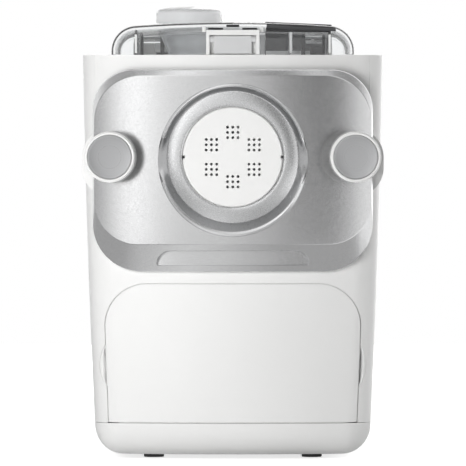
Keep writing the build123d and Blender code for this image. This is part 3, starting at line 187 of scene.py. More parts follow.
tree.links.new(seen, pick_shown.inputs["Fac"])
tree.links.new(pick_gloss.outputs[0], pick_shown.inputs[1])
tree.links.new(shown.outputs[0], pick_shown.inputs[2])
tree.links.new(pick_shown.outputs[0], put(tree, "OutputWorld").inputs["Surface"])


# ---- White mouldings ----------------------------------------------------------------------------
# Base tray, housing, fascia, deck, drawer front and latch frame: injection-moulded white ABS with
# a satin polish. The tool leaves a faint ripple and a very fine spark grain.
WHITE = (0.885, 0.885, 0.876)


def start_group(name, inputs, outputs):
    """Empty shader group with named sockets."""
    group = bpy.data.node_groups.new(name, "ShaderNodeTree")
    for label, kind, value in inputs:
        socket = group.interface.new_socket(name=label, in_out="INPUT", socket_type="NodeSocket" + kind)
        socket.default_value = value
    for label, kind in outputs:
        group.interface.new_socket(name=label, in_out="OUTPUT", socket_type="NodeSocket" + kind)
    return group, group.nodes.new("NodeGroupInput"), group.nodes.new("NodeGroupOutput")


def shade_by(tree, colour, share):
    """Colour times a grey value, as a colour output."""
    tint = put(tree, "VectorMath", operation="SCALE")
    tree.links.new(colour, tint.inputs[0])
    tree.links.new(share, tint.inputs["Scale"])
    return tint.outputs["Vector"]


SURFACE_IN = [("Colour", "Color", (0.8, 0.8, 0.8, 1)), ("Roughness", "Float", 0.4),
              ("Grain", "Float", 2400.0)]
SURFACE_OUT = [("Colour", "Color"), ("Roughness", "Float"), ("Height", "Float")]

moulded_skin, inside, out = start_group("moulded_skin", SURFACE_IN, SURFACE_OUT)
where = put(moulded_skin, "TexCoord").outputs["Object"]
ripple = put(moulded_skin, "TexNoise", {"Scale": 24.0, "Detail": 3.0, "Distortion": 0.4})
spark = put(moulded_skin, "TexNoise", {"Detail": 2.0})
moulded_skin.links.new(where, ripple.inputs["Vector"])
moulded_skin.links.new(where, spark.inputs["Vector"])
moulded_skin.links.new(inside.outputs["Grain"], spark.inputs["Scale"])
tone = sums(moulded_skin, "MULTIPLY_ADD", ripple.outputs["Fac"], 0.035, 0.982)
rough = sums(moulded_skin, "MULTIPLY_ADD", ripple.outputs["Fac"], 0.12, -0.06)
rough = sums(moulded_skin, "ADD", rough, inside.outputs["Roughness"])
rough = sums(moulded_skin, "MULTIPLY_ADD", spark.outputs["Fac"], 0.06, rough)
high = sums(moulded_skin, "MULTIPLY_ADD", ripple.outputs["Fac"], 0.8, spark.outputs["Fac"])
moulded_skin.links.new(shade_by(moulded_skin, inside.outputs["Colour"], tone), out.inputs["Colour"])
moulded_skin.links.new(rough, out.inputs["Roughness"])
moulded_skin.links.new(high, out.inputs["Height"])


def finish(name, colour, roughness, group=None, bump=0.0, values=(), **sockets):
    """Material with a Principled shader. A surface group, if given, drives colour, gloss and relief."""
    material = bpy.data.materials.new(name)
    material.use_nodes = True
    tree = material.node_tree
    shader = tree.nodes["Principled BSDF"]
    shader.inputs["Base Color"].default_value = (*colour, 1)
    shader.inputs["Roughness"].default_value = roughness
    for socket, value in sockets.items():
        shader.inputs[socket.replace("_", " ")].default_value = value
    if group:
        surface = tree.nodes.new("ShaderNodeGroup")
        surface.node_tree = group
        surface.inputs["Colour"].default_value = (*colour, 1)
        surface.inputs["Roughness"].default_value = roughness
        for socket, value in dict(values).items():
            surface.inputs[socket].default_value = value
        relief = put(tree, "Bump", {"Strength": 1.0, "Distance": bump})
        tree.links.new(surface.outputs["Colour"], shader.inputs["Base Color"])
        tree.links.new(surface.outputs["Roughness"], shader.inputs["Roughness"])
        tree.links.new(surface.outputs["Height"], relief.inputs["Height"])
        tree.links.new(relief.outputs["Normal"], shader.inputs["Normal"])
    return material


def dress(material, *names):
    """Gives CAD nodes a finished material."""
    for name in names:
        for slot in nodes[name].material_slots:
            slot.material = material


white_abs = finish("white_abs", WHITE, 0.3, moulded_skin, 0.00002, {"Grain": 2600.0})
white_inner = finish("white_inner", (0.84, 0.84, 0.83), 0.5, moulded_skin, 0.00004, {"Grain": 1500.0})
dress(white_abs, "base_tray", "outer_housing", "front_fascia", "drawer_front", "latch_frame")
dress(white_inner, "top_deck")

# The finger scoops beside the drawer are dished: each falls away from the body's corner towards
# the drawer's edge, where a fingertip gets behind it.
SIDES = ((-1, "left"), (1, "right"))
SCOOP_Z = 0.067
SCOOP_TALL = 0.0314
SCOOP_EDGE = 0.09013       # drawer's edge at that height, and how much it leans out with height
SCOOP_LEAN = 0.0392
SCOOP_ARC = 0.02722
SCOOP_REACH = 0.0052
SCOOP_DEPTH = 0.0048
SCOOP_NARROW = 0.003       # it gets shallower where it is narrower than this
SCOOP_INSET = 0.0003
BODY_LOW = (0.0989, 0.027)     # body's half width at a height near its base, and near its rim
BODY_HIGH = (0.1075, 0.287)
BODY_CORNER = 0.022
FRONT_BOW = 0.33
BOW_CENTRE = 0.183


def only(chosen):
    """Makes one object the selected and active one."""
    bpy.ops.object.select_all(action="DESELECT")
    chosen.select_set(True)
    bpy.context.view_layer.objects.active = chosen


def settle(piece):
    """Moves a piece's place into its mesh."""
    only(piece)
    bpy.ops.object.transform_apply(location=True, rotation=True, scale=True)


def front_y(x, z):
    """Depth of the body's front at this place: a bow, then a round corner."""
    half = BODY_LOW[0] + (BODY_HIGH[0] - BODY_LOW[0]) * (z - BODY_LOW[1]) / (BODY_HIGH[1] - BODY_LOW[1])
    centre_x = half - BODY_CORNER
    if abs(x) < centre_x * FRONT_BOW / (FRONT_BOW - BODY_CORNER):
        return BOW_CENTRE - math.sqrt(FRONT_BOW ** 2 - x ** 2)
    centre_y = BOW_CENTRE - math.sqrt((FRONT_BOW - BODY_CORNER) ** 2 - centre_x ** 2)
    return centre_y - math.sqrt(BODY_CORNER ** 2 - (abs(x) - centre_x) ** 2)


for side, name in SIDES:
    bpy.ops.object.select_all(action="DESELECT")
    bpy.ops.mesh.primitive_grid_add(x_subdivisions=12, y_subdivisions=36, size=1)
    scoop = bpy.context.object
    scoop.name = name + "_scoop"
    for vert in scoop.data.vertices:
        share, height = vert.co.x + 0.5, vert.co.y * SCOOP_TALL
        arc = SCOOP_EDGE + SCOOP_REACH - SCOOP_ARC + math.sqrt((SCOOP_ARC - 0.0001) ** 2 - height ** 2)
        inner = SCOOP_EDGE + height * SCOOP_LEAN + 0.0002
        x = arc + (min(inner, arc - 0.0001) - arc) * share
        z = SCOOP_Z + height
        sunk = SCOOP_DEPTH * (1 - math.cos(share * math.pi / 2)) * min(1.0, (arc - inner) / SCOOP_NARROW)
        vert.co = (side * x, front_y(x, z) + max(sunk, 0.0) + SCOOP_INSET, z)
    only(scoop)
    bpy.ops.object.mode_set(mode="EDIT")
    bpy.ops.mesh.select_all(action="SELECT")
    bpy.ops.mesh.extrude_region_move(TRANSFORM_OT_translate={"value": (0, 0.0008, 0)})
    bpy.ops.mesh.select_all(action="SELECT")
    bpy.ops.mesh.normals_make_consistent(inside=False)
    bpy.ops.object.mode_set(mode="OBJECT")
    bpy.ops.object.shade_smooth_by_angle(angle=math.radians(35))
    scoop.data.materials.append(white_abs)
    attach(scoop, "main_unit")

# A thin lip of the housing stands in the gap round the drawer, a little behind the surface, so
# that no flour gets past the drawer's edge.
DRAWER_TOP_Z = 0.1249
DRAWER_LOW_Z = 0.0261
DRAWER_HALF_TOP = 0.0924
DRAWER_HALF_LOW = 0.0885
DRAWER_CORNER = 0.03
LIP_DEPTH = 0.0011         # of its front behind the surface, and of its back behind its front
LIP_THICK = 0.001
LIP_INNER = 0.0001         # its two edges, measured outwards from the drawer's
LIP_OUTER = 0.00055


def drawer_loop(grow):
    """Points (x, z) round the drawer front's outline, set outwards by this much."""
    lean = (DRAWER_HALF_TOP - DRAWER_HALF_LOW) / (DRAWER_TOP_Z - DRAWER_LOW_Z)
    low_x = DRAWER_HALF_LOW + grow
    right = [(low_x + lean * step * 0.01, DRAWER_LOW_Z + step * 0.01) for step in range(7)]
    radius = DRAWER_CORNER + grow
    centre_x = DRAWER_HALF_TOP + grow - radius - lean * radius
    centre_z = DRAWER_TOP_Z + grow - radius
    for step in range(17):
        turn = math.pi / 2 * step / 16 - lean * (1 - step / 16)
        right.append((centre_x + radius * math.cos(turn), centre_z + radius * math.sin(turn)))
    right += [(centre_x * (1 - step / 10), DRAWER_TOP_Z + grow) for step in range(1, 11)]
    bottom = [(low_x * (step / 10 - 1), DRAWER_LOW_Z - grow) for step in range(1, 20)]
    return right + [(-x, z) for x, z in reversed(right[:-1])] + bottom


def bridged(rings, closed=False):
    """Faces between rings of as many points each, and from the last to the first if closed."""
    count, faces = len(rings[0]), []
    for ring in range(len(rings) if closed else len(rings) - 1):
        here, there = ring * count, (ring + 1) % len(rings) * count
        for point in range(count):
            after = (point + 1) % count
            faces.append((here + point, here + after, there + after, there + point))
    return faces


def from_points(name, points, edges, faces):
    """New piece with this mesh, made the selected and active one."""
    mesh = bpy.data.meshes.new(name)
    mesh.from_pydata(points, edges, faces)
    piece = bpy.data.objects.new(name, mesh)
    bpy.context.scene.collection.objects.link(piece)
    only(piece)
    return piece


def face_outwards(piece):
    """Turns the faces of a closed mesh outwards."""
    only(piece)
    bpy.ops.object.mode_set(mode="EDIT")
    bpy.ops.mesh.select_all(action="SELECT")
    bpy.ops.mesh.normals_make_consistent(inside=False)
    bpy.ops.object.mode_set(mode="OBJECT")


rings = []
for grow, depth in ((LIP_INNER, 0), (LIP_OUTER, 0), (LIP_OUTER, LIP_THICK), (LIP_INNER, LIP_THICK)):
    rings.append([(x, front_y(x, z) + LIP_DEPTH + depth, z) for x, z in drawer_loop(grow)])
points = [point for ring in rings for point in ring]
drawer_lip = from_points("drawer_mouth_lip", points, [], bridged(rings, closed=True))
face_outwards(drawer_lip)
drawer_lip.data.materials.append(white_inner)
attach(drawer_lip, "main_unit")


# ---- Rubber feet, seals and base screws ---------------------------------------------------------
# Four black rubber feet pushed into the tray, pale silicone seals round shaft and tube, and
# zinc-plated screws that hold the drive bracket down.
rubber = finish("rubber", (0.028, 0.028, 0.03), 0.62, moulded_skin, 0.00008, {"Grain": 900.0})
silicone = finish("silicone", (0.62, 0.63, 0.64), 0.5, moulded_skin, 0.00005, {"Grain": 1200.0})
dress(rubber, "rubber_feet")
dress(silicone, "shaft_seal", "tube_seal")

TURNED_IN = SURFACE_IN[:2] + [("Rings", "Float", 3000.0), ("Centre", "Vector", (0.0, 0.0, 0.0))]
turned_marks, inside, out = start_group("turned_marks", TURNED_IN, SURFACE_OUT)
offset = put(turned_marks, "VectorMath", operation="SUBTRACT")
turned_marks.links.new(put(turned_marks, "TexCoord").outputs["Object"], offset.inputs[0])
turned_marks.links.new(inside.outputs["Centre"], offset.inputs[1])
split = put(turned_marks, "SeparateXYZ")
turned_marks.links.new(offset.outputs["Vector"], split.inputs[0])
across = sums(turned_marks, "POWER", split.outputs["X"], 2.0)
across = sums(turned_marks, "ADD", across, sums(turned_marks, "POWER", split.outputs["Z"], 2.0))
reach = sums(turned_marks, "ADD", sums(turned_marks, "SQRT", across), split.outputs["Y"])
marks = put(turned_marks, "TexNoise", {"Scale": 1.0, "Detail": 3.0}, noise_dimensions="1D")
turned_marks.links.new(sums(turned_marks, "MULTIPLY", reach, inside.outputs["Rings"]), marks.inputs["W"])
tone = sums(turned_marks, "MULTIPLY_ADD", marks.outputs["Fac"], 0.24, 0.88)
rough = sums(turned_marks, "MULTIPLY_ADD", marks.outputs["Fac"], 0.2, -0.1)
rough = sums(turned_marks, "ADD", rough, inside.outputs["Roughness"])
turned_marks.links.new(shade_by(turned_marks, inside.outputs["Colour"], tone), out.inputs["Colour"])
turned_marks.links.new(rough, out.inputs["Roughness"])
turned_marks.links.new(marks.outputs["Fac"], out.inputs["Height"])

zinc = finish("zinc", (0.66, 0.67, 0.68), 0.34, turned_marks, 0.00001, {"Rings": 5200.0}, Metallic=1.0)
dress(zinc, "base_screws", "gearbox_screws")


# ---- Motor, gears and gearbox -------------------------------------------------------------------
# Die-cast gearbox in two halves, steel motor can with its armature and fan, nylon gears with
# moulded teeth, and a folded steel bracket. All of it sits behind the mixing chamber.
AXIS_Z = 0.2157
MOTOR_Z = 0.1007

cast_skin, inside, out = start_group("cast_skin", SURFACE_IN, SURFACE_OUT)
where = put(cast_skin, "TexCoord").outputs["Object"]
pebble = put(cast_skin, "TexVoronoi", feature="SMOOTH_F1")
stain = put(cast_skin, "TexNoise", {"Scale": 60.0, "Detail": 5.0})
cast_skin.links.new(where, pebble.inputs["Vector"])
cast_skin.links.new(where, stain.inputs["Vector"])
cast_skin.links.new(inside.outputs["Grain"], pebble.inputs["Scale"])
tone = sums(cast_skin, "MULTIPLY_ADD", stain.outputs["Fac"], 0.3, 0.82)
rough = sums(cast_skin, "MULTIPLY_ADD", stain.outputs["Fac"], 0.24, -0.12)
rough = sums(cast_skin, "ADD", rough, inside.outputs["Roughness"])
cast_skin.links.new(shade_by(cast_skin, inside.outputs["Colour"], tone), out.inputs["Colour"])
cast_skin.links.new(rough, out.inputs["Roughness"])
cast_skin.links.new(pebble.outputs["Distance"], out.inputs["Height"])

cast_alloy = finish("cast_alloy", (0.62, 0.62, 0.63), 0.5, cast_skin, 0.0001, {"Grain": 700.0},
                    Metallic=1.0)
rolled_steel = finish("rolled_steel", (0.56, 0.565, 0.575), 0.4, cast_skin, 0.00002, {"Grain": 2600.0},
                      Metallic=1.0)
bright_steel = finish("bright_steel", (0.7, 0.7, 0.71), 0.22, turned_marks, 0.000006,
                      {"Centre": (0, 0, AXIS_Z)}, Metallic=1.0)
rotor_steel = finish("rotor_steel", (0.46, 0.42, 0.4), 0.38, turned_marks, 0.00003,
                     {"Centre": (0, 0, MOTOR_Z), "Rings": 2000.0}, Metallic=1.0)
nylon = finish("nylon", (0.8, 0.775, 0.69), 0.42, moulded_skin, 0.00004, {"Grain": 1400.0},
               Subsurface_Weight=0.15, Subsurface_Radius=(0.002, 0.002, 0.0015))
dress(cast_alloy, "gearbox_housing", "gearbox_cover")
dress(rolled_steel, "motor_casing", "drive_bracket", "hinge_pins", "latch_pin")
dress(bright_steel, "drive_shaft", "idler_pin", "shaft_bearings", "motor_pinion", "clamp_studs")
dress(rotor_steel, "motor_rotor")
dress(nylon, "output_gear", "idler_gear", "cooling_fan")


# ---- Mixing chamber, paddle and screw -----------------------------------------------------------
# The trough is a pale grey food-grade moulding, polished inside so that dough lets go of it. The
# paddle and the extrusion screw are thick white mouldings driven by the hexagonal shaft.
chamber_grey = finish("chamber_grey", (0.66, 0.67, 0.675), 0.24, moulded_skin, 0.00001, {"Grain": 2000.0})
food_white = finish("food_white", (0.88, 0.88, 0.87), 0.38, moulded_skin, 0.00003, {"Grain": 1800.0})
dress(chamber_grey, "mixing_chamber")
dress(food_white, "mixing_paddle", "extrusion_screw", "extrusion_tube", "shaping_disc")


# ---- Drawer and its bay -------------------------------------------------------------------------
# Light grey tray screwed behind the white drawer front. It runs on two rails inside a bay that
# keeps flour out of the works.
drawer_grey = finish("drawer_grey", (0.68, 0.68, 0.68), 0.46, moulded_skin, 0.00005, {"Grain": 1300.0})
dress(drawer_grey, "drawer_tray", "drawer_bay", "drawer_runners")


# ---- Silver front panel -------------------------------------------------------------------------
# Metallised moulding that clamps the extrusion tube to the body. One bowed face with a narrow
# bevel along its top, a broad band falling back below it, and a slot for the fingertips.
FACE_RADIUS = 0.343
PANEL_BACK = 0.0126
PANEL_EDGE = {"half": 0.1, "low": 0.1336, "top": 0.278, "low_corner": 0.035, "top_corner": 0.029}
FACE_EDGE = {"half": 0.0989, "low": 0.1532, "top": 0.2734, "low_corner": 0.031, "top_corner": 0.032}
SLOT_EDGE = {"half": 0.0543, "low": 0.1386, "top": 0.1489, "low_corner": 0.0006, "top_corner": 0.0096}
TOP_FALL = 0.003
BAND_FALL = 0.009
CREASE = 0.0005
RIM_ROUND = 0.001
SLOT_DEPTH = 0.0102
SLOT_ROUND = 0.0006
SEAT_R = 0.0521            # oval seat sunk into the face for the collar
SEAT_OVAL = 0.0285
SEAT_DROP = 0.0015
SEAT_DEPTH = 0.0032
TUBE_R = 0.0403
STRIP = 0.002              # width of the strips that the face is bowed in, and their height
STRIP_TALL = 0.0115
KNOB_X = 0.0875
KNOB_FLAT_R = 0.019        # flat that each knob bears on, and the hole for its stud
KNOB_FLAT_Y = -0.149
STUD_HOLE_R = 0.0053
BOSS_R = 0.0206            # hollow behind it that clears the oval boss of the body
BOSS_OVAL = 0.19
BOSS_DROP = 0.004
BOSS_Y = -0.1361


def corner_loop(edge, steps=18):
    """Points (x, z) round a front-view outline with four round corners."""
    points = []
    for quarter, (right, upper) in enumerate(((1, 1), (-1, 1), (-1, -1), (1, -1))):
        radius = edge["top_corner"] if upper > 0 else edge["low_corner"]
        x = right * (edge["half"] - radius)
        z = edge["top"] - radius if upper > 0 else edge["low"] + radius
        for step in range(steps + 1):
            turn = math.pi / 2 * (quarter + step / steps)
            points.append((x + radius * math.cos(turn), z + radius * math.sin(turn)))
    return points


def skinned(name, rings):
    """Closed skin over rings of as many points each, with a flat face at either end."""
    points = [point for ring in rings for point in ring]
    count = len(rings[0])
    ends = [tuple(range(count)), tuple(range(len(points) - count, len(points)))]
    piece = from_points(name, points, [], bridged(rings) + ends)
    face_outwards(piece)
    return piece


def rounded(start, corner, end, share):
    """Point on the smooth curve that takes the place of a sharp corner."""
    return tuple((1 - share) ** 2 * a + 2 * share * (1 - share) * b + share ** 2 * c
                 for a, b, c in zip(start, corner, end))


def between(start, end, share):
    """Point this share of the way from one point to another."""
    return tuple(a + (b - a) * share for a, b in zip(start, end))


def panel_rings():
    """Rings of the panel before it is bowed, from just inside its face to its back edge."""
    rings = [[] for _ in range(9)]
    for (fx, fz), (rx, rz) in zip(corner_loop(FACE_EDGE), corner_loop(PANEL_EDGE)):
        low = min(1.0, max(0.0, (FACE_EDGE["low"] - rz) / (FACE_EDGE["low"] - PANEL_EDGE["low"])))
        fall = TOP_FALL + (BAND_FALL - TOP_FALL) * low
        face, rim = (fx, 0.0, fz), (rx, fall, rz)
        wide = math.hypot(rx - fx, rz - fz)
        near = min(CREASE, 0.3 * wide) / wide
        far = 1 - min(RIM_ROUND, 0.35 * wide) / wide
        inner, outer = between(face, (rx, 0.0, rz), -near), between(face, rim, near)
        before, behind = between(face, rim, far), (rx, fall + RIM_ROUND, rz)
        for place, share in enumerate((0, 0.35, 0.65, 1)):
            rings[place].append(rounded(inner, face, outer, share))
            rings[place + 4].append(rounded(before, rim, behind, share))
        rings[8].append((rx, PANEL_BACK, rz))
    return rings


def cut_with(piece, cutter):
    """Cuts a piece with a blank that is then thrown away."""
    only(piece)
    cut = piece.modifiers.new("cut", "BOOLEAN")
    cut.operation = "DIFFERENCE"
    cut.solver = "EXACT"
    cut.object = cutter
    bpy.ops.object.modifier_apply(modifier="cut")
    bpy.data.objects.remove(cutter)


def rod(radius, front, back, x=0.0, z=AXIS_Z, vertices=128, tall=1.0):
    """Round or oval cutter lying along Y."""
    bpy.ops.object.select_all(action="DESELECT")
    bpy.ops.mesh.primitive_cylinder_add(vertices=vertices, radius=radius, depth=back - front,
                                        location=(x, (front + back) / 2, z), rotation=(math.pi / 2, 0, 0))
    blank = bpy.context.object
    blank.scale = (1, tall, 1)
    settle(blank)
    return blank


silver_front = skinned("silver_front", panel_rings())
slot_rings = [[(x, y, z) for x, z in corner_loop(SLOT_EDGE, 10)] for y in (-0.006, SLOT_DEPTH)]
cut_with(silver_front, skinned("slot_cut", slot_rings))

# The slot's floor meets its walls in a small round.
only(silver_front)
bpy.ops.object.mode_set(mode="EDIT")
bpy.ops.mesh.select_mode(type="EDGE")
bpy.ops.mesh.select_all(action="DESELECT")
shape = bmesh.from_edit_mesh(silver_front.data)
for edge in shape.edges:
    inside_slot = all(abs(vert.co.x) < SLOT_EDGE["half"] + 1e-4 and vert.co.y < 0.01
                      and SLOT_EDGE["low"] - 1e-4 < vert.co.z < SLOT_EDGE["top"] + 1e-4
                      for vert in edge.verts)
    edge.select_set(inside_slot and len(edge.link_faces) == 2
                    and edge.calc_face_angle(0.0) > math.radians(40)
                    and any(len(face.verts) > 8 for face in edge.link_faces))
bmesh.update_edit_mesh(silver_front.data)
bpy.ops.mesh.bevel(offset=SLOT_ROUND, segments=3)
bpy.ops.object.mode_set(mode="OBJECT")
seat_blank = rod(SEAT_R, -0.01, SEAT_DEPTH, z=AXIS_Z - SEAT_DROP, vertices=160, tall=1 + SEAT_OVAL)
cut_with(silver_front, seat_blank)
cut_with(silver_front, rod(TUBE_R, -0.01, 0.03))

# The flat panel is divided into strips and bowed, and only then cut to seat the knobs.
only(silver_front)
bpy.ops.object.mode_set(mode="EDIT")
for step in range(-49, 50):
    bpy.ops.mesh.select_all(action="SELECT")
    bpy.ops.mesh.bisect(plane_co=(step * STRIP + 0.0001, 0, 0), plane_no=(1, 0, 0))
for step in range(-5, 5):
    bpy.ops.mesh.select_all(action="SELECT")
    bpy.ops.mesh.bisect(plane_co=(0, 0, AXIS_Z + 0.0057 + step * STRIP_TALL), plane_no=(0, 0, 1))
bpy.ops.object.mode_set(mode="OBJECT")
for vert in silver_front.data.vertices:
    vert.co.y = BOW_CENTRE - math.sqrt((FACE_RADIUS - vert.co.y) ** 2 - vert.co.x ** 2)
for side in (-1, 1):
    x = side * KNOB_X
    cut_with(silver_front, rod(KNOB_FLAT_R, -0.17, KNOB_FLAT_Y, x))
    cut_with(silver_front, rod(STUD_HOLE_R, -0.17, -0.12, x, vertices=48))
    cut_with(silver_front, rod(BOSS_R, BOSS_Y, -0.11, x, z=AXIS_Z - BOSS_DROP, tall=1 + BOSS_OVAL))

# The face shades evenly, with a sharp edge where it meets the flats under the knobs.
only(silver_front)
bpy.ops.object.shade_smooth_by_angle(angle=math.radians(30))
for edge in silver_front.data.edges:
    depths = [silver_front.data.vertices[index].co.y for index in edge.vertices]
    if all(abs(depth - KNOB_FLAT_Y) < 3e-6 for depth in depths):
        edge.use_edge_sharp = True
even = silver_front.modifiers.new("even_shading", "WEIGHTED_NORMAL")
even.keep_sharp = True
even.weight = 90
bpy.ops.object.modifier_apply(modifier="even_shading")
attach(silver_front, "front_panel_unit")
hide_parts("front_panel")

metal_flake, inside, out = start_group("metal_flake", SURFACE_IN, SURFACE_OUT)
where = put(metal_flake, "TexCoord").outputs["Object"]
flake = put(metal_flake, "TexVoronoi")
cloud = put(metal_flake, "TexNoise", {"Scale": 40.0, "Detail": 4.0})
metal_flake.links.new(where, flake.inputs["Vector"])
metal_flake.links.new(where, cloud.inputs["Vector"])
metal_flake.links.new(inside.outputs["Grain"], flake.inputs["Scale"])
each = put(metal_flake, "SeparateColor")
metal_flake.links.new(flake.outputs["Color"], each.inputs[0])
tone = sums(metal_flake, "MULTIPLY_ADD", each.outputs[0], 0.09, 0.945)
tone = sums(metal_flake, "MULTIPLY_ADD", cloud.outputs["Fac"], 0.02, tone)
rough = sums(metal_flake, "MULTIPLY_ADD", each.outputs[1], 0.1, -0.05)
rough = sums(metal_flake, "ADD", rough, inside.outputs["Roughness"])
metal_flake.links.new(shade_by(metal_flake, inside.outputs["Colour"], tone), out.inputs["Colour"])
metal_flake.links.new(rough, out.inputs["Roughness"])
metal_flake.links.new(each.outputs[2], out.inputs["Height"])

satin_silver = finish("satin_silver", (0.7, 0.702, 0.706), 0.22, metal_flake, 0.0000015, {"Grain": 2600.0},
                      Metallic=1.0)
silver_front.data.materials.append(satin_silver)


# ---- Collar and ring cap ------------------------------------------------------------------------
# The panel's opening is finished by a silver collar: a rolled lip, then a groove that the ring cap
# sits in. The ring cap is a crowned bayonet ring in grey metal-flake lacquer.
COLLAR = ((53.3, -153.5), (53.3, -158.6), (53.15, -160.2), (52.7, -161.3), (52.1, -161.85), (51.4, -162.0),
          (50.7, -161.7), (50.1, -161.1), (49.4, -160.2), (48.7, -159.4), (48.0, -158.8), (47.4, -158.4),
          (47.0, -158.25), (47.0, -156.4), (50.5, -155.0), (52.0, -153.5))
CAP_RING = ((35.9, -168.5), (35.9, -171.6), (36.3, -172.2), (36.9, -172.45), (37.8, -172.5),
            (41.0, -172.15), (43.8, -171.55), (45.7, -171.0), (46.35, -170.8), (46.6, -170.62),
            (46.75, -170.35), (46.8, -170.0), (46.8, -158.0), (40.3, -158.0), (40.3, -161.3),
            (43.7, -161.3), (43.7, -168.5))
COLLAR_DROP = 0.0022
OVAL_START_R = 0.0485      # the collar turns oval from here out, and fully within this run
OVAL_START_RUN = 0.003
NOTCH_SPAN = (math.radians(25), math.radians(20))     # half angles of the left and right notch
NOTCH_Y = -0.1578
NOTCH_STEEP = 1.3
NOTCH_SHADE_Y = -0.1603     # a notch takes the painted shade grey behind this depth
GROOVE_R = 0.0502


def spun(name, profile, x=0.0, z=AXIS_Z, steps=128):
    """Closed outline of (radius, y) points in millimetres, spun round an axis along Y."""
    edges = [(index, (index + 1) % len(profile)) for index in range(len(profile))]
    piece = from_points(name, [(r / 1000, y / 1000, 0) for r, y in profile], edges, [])
    bpy.ops.object.mode_set(mode="EDIT")
    bpy.ops.mesh.select_all(action="SELECT")
    bpy.ops.mesh.spin(steps=steps, angle=2 * math.pi, center=(0, 0, 0), axis=(0, 1, 0))
    bpy.ops.mesh.select_all(action="SELECT")
    bpy.ops.mesh.remove_doubles(threshold=2e-6)
    bpy.ops.mesh.normals_make_consistent(inside=False)
    bpy.ops.object.mode_set(mode="OBJECT")
    piece.location = (x, 0, z)
    settle(piece)
    bpy.ops.object.shade_smooth_by_angle(angle=math.radians(35))
    return piece


collar = spun("seat_collar", COLLAR)
for vert in collar.data.vertices:
    radius = math.hypot(vert.co.x, vert.co.z - AXIS_Z)
    grow = min(1.0, max(0.0, (radius - OVAL_START_R) / OVAL_START_RUN))
    for side, span in zip((-1, 1), NOTCH_SPAN):
        away = abs(math.atan2(vert.co.z - AXIS_Z, side * vert.co.x)) / span
        dip = min(1.0, math.cos(min(1.0, away) * math.pi / 2) ** 2 * NOTCH_STEEP)
        vert.co.y += max(0.0, NOTCH_Y - vert.co.y) * dip
    vert.co.z += (vert.co.z - AXIS_Z) * SEAT_OVAL * grow - COLLAR_DROP * grow
only(collar)
bpy.ops.object.shade_smooth_by_angle(angle=math.radians(50))
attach(collar, "front_panel_unit")
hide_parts("cap_seat_ring")
collar_silver = finish("collar_silver", (0.8, 0.803, 0.808), 0.2, metal_flake, 0.000001, {"Grain": 2600.0},
                       Metallic=0.85)
# The darker grey stands for the shade in the groove and the notches: painted shade.
groove_painted_shade = finish("groove_painted_shade", (0.6, 0.603, 0.608), 0.32, metal_flake, 0.000001, {"Grain": 2600.0},
                     Metallic=1.0)
collar.data.materials.append(collar_silver)
collar.data.materials.append(groove_painted_shade)
# Faces in the groove, and in each notch behind that depth, take the darker grey: painted shade in these
# recesses.
for face in collar.data.polygons:
    centre = face.center
    side, span = (-1, NOTCH_SPAN[0]) if centre.x < 0 else (1, NOTCH_SPAN[1])
    in_notch = abs(math.atan2(centre.z - AXIS_Z, side * centre.x)) < span and centre.y > NOTCH_SHADE_Y
    in_groove = math.hypot(centre.x, (centre.z - AXIS_Z + COLLAR_DROP) / (1 + SEAT_OVAL)) < GROOVE_R
    face.material_index = 1 if in_groove or in_notch else 0

cap_ring = spun("cap_ring", CAP_RING)
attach(cap_ring, "cap_unit")
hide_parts("ring_cap")
flake_grey = finish("flake_grey", (0.74, 0.744, 0.75), 0.27, metal_flake, 0.0000003, {"Grain": 2400.0},
                    Metallic=0.95)
cap_ring.data.materials.append(flake_grey)

# Two small dark keys at the disc's edge locate it in the tube.
KEY_R = 0.0013
KEY_THICK = 0.0012
KEY_PLACE = (0.0349, -0.1711)

for side, name in SIDES:
    bpy.ops.object.select_all(action="DESELECT")
    bpy.ops.mesh.primitive_cylinder_add(vertices=3, radius=KEY_R, depth=KEY_THICK,
                                        location=(side * KEY_PLACE[0], KEY_PLACE[1], AXIS_Z),
                                        rotation=(math.pi / 2, -side * math.pi / 2, 0))
    key = bpy.context.object
    key.name = name + "_disc_key"
    settle(key)
    bpy.ops.object.mode_set(mode="EDIT")
    bpy.ops.mesh.select_all(action="SELECT")
    bpy.ops.mesh.bevel(offset=0.0002, segments=2)
    bpy.ops.object.mode_set(mode="OBJECT")
    key.data.materials.append(rubber)
    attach(key, "front_panel_unit")


# ---- Knobs --------------------------------------------------------------------------------------
# Two white screw knobs with brass nuts moulded in. Each has a rolled rim round a grey metal disc,
# dished to take a fingertip.
KNOB_DISH = ((0.0, -169.35), (5.0, -169.4), (9.5, -169.55), (13.0, -169.8), (14.6, -170.05),
             (15.3, -170.15), (15.7, -170.0), (15.84, -169.6), (15.84, -168.0), (0.0, -168.0))
REFLECTED_SHADE = 0.35            # share of the knobs' white that gloss sees: painted shade in the silver panel's reflection of them

# Gloss rays see the knobs' white darkened to that share. This is painted shade, so the silver panel
# reflects them darker than they are lit.
knob_white_shaded_in_gloss = finish("knob_white_shaded_in_gloss", WHITE, 0.3, moulded_skin, 0.00002, {"Grain": 2600.0})
tree = knob_white_shaded_in_gloss.node_tree
reflected_shade = sums(tree, "MULTIPLY_ADD", put(tree, "LightPath").outputs["Is Glossy Ray"], REFLECTED_SHADE - 1, 1.0)
skin = shade_by(tree, tree.nodes["Group"].outputs["Colour"], reflected_shade)
tree.links.new(skin, tree.nodes["Principled BSDF"].inputs["Base Color"])
dress(knob_white_shaded_in_gloss, "left_knob", "right_knob")
for side, name in SIDES:
    dish = spun(name + "_knob_dish", KNOB_DISH, x=side * KNOB_X, steps=96)
    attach(dish, name + "_knob_unit")
    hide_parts(name + "_knob_face")
    grey = finish(name + "_knob_grey", (0.53, 0.533, 0.54), 0.32, turned_marks, 0.000002,
                  {"Rings": 2600.0, "Centre": (side * KNOB_X, 0, AXIS_Z)}, Metallic=0.8)
    dish.data.materials.append(grey)
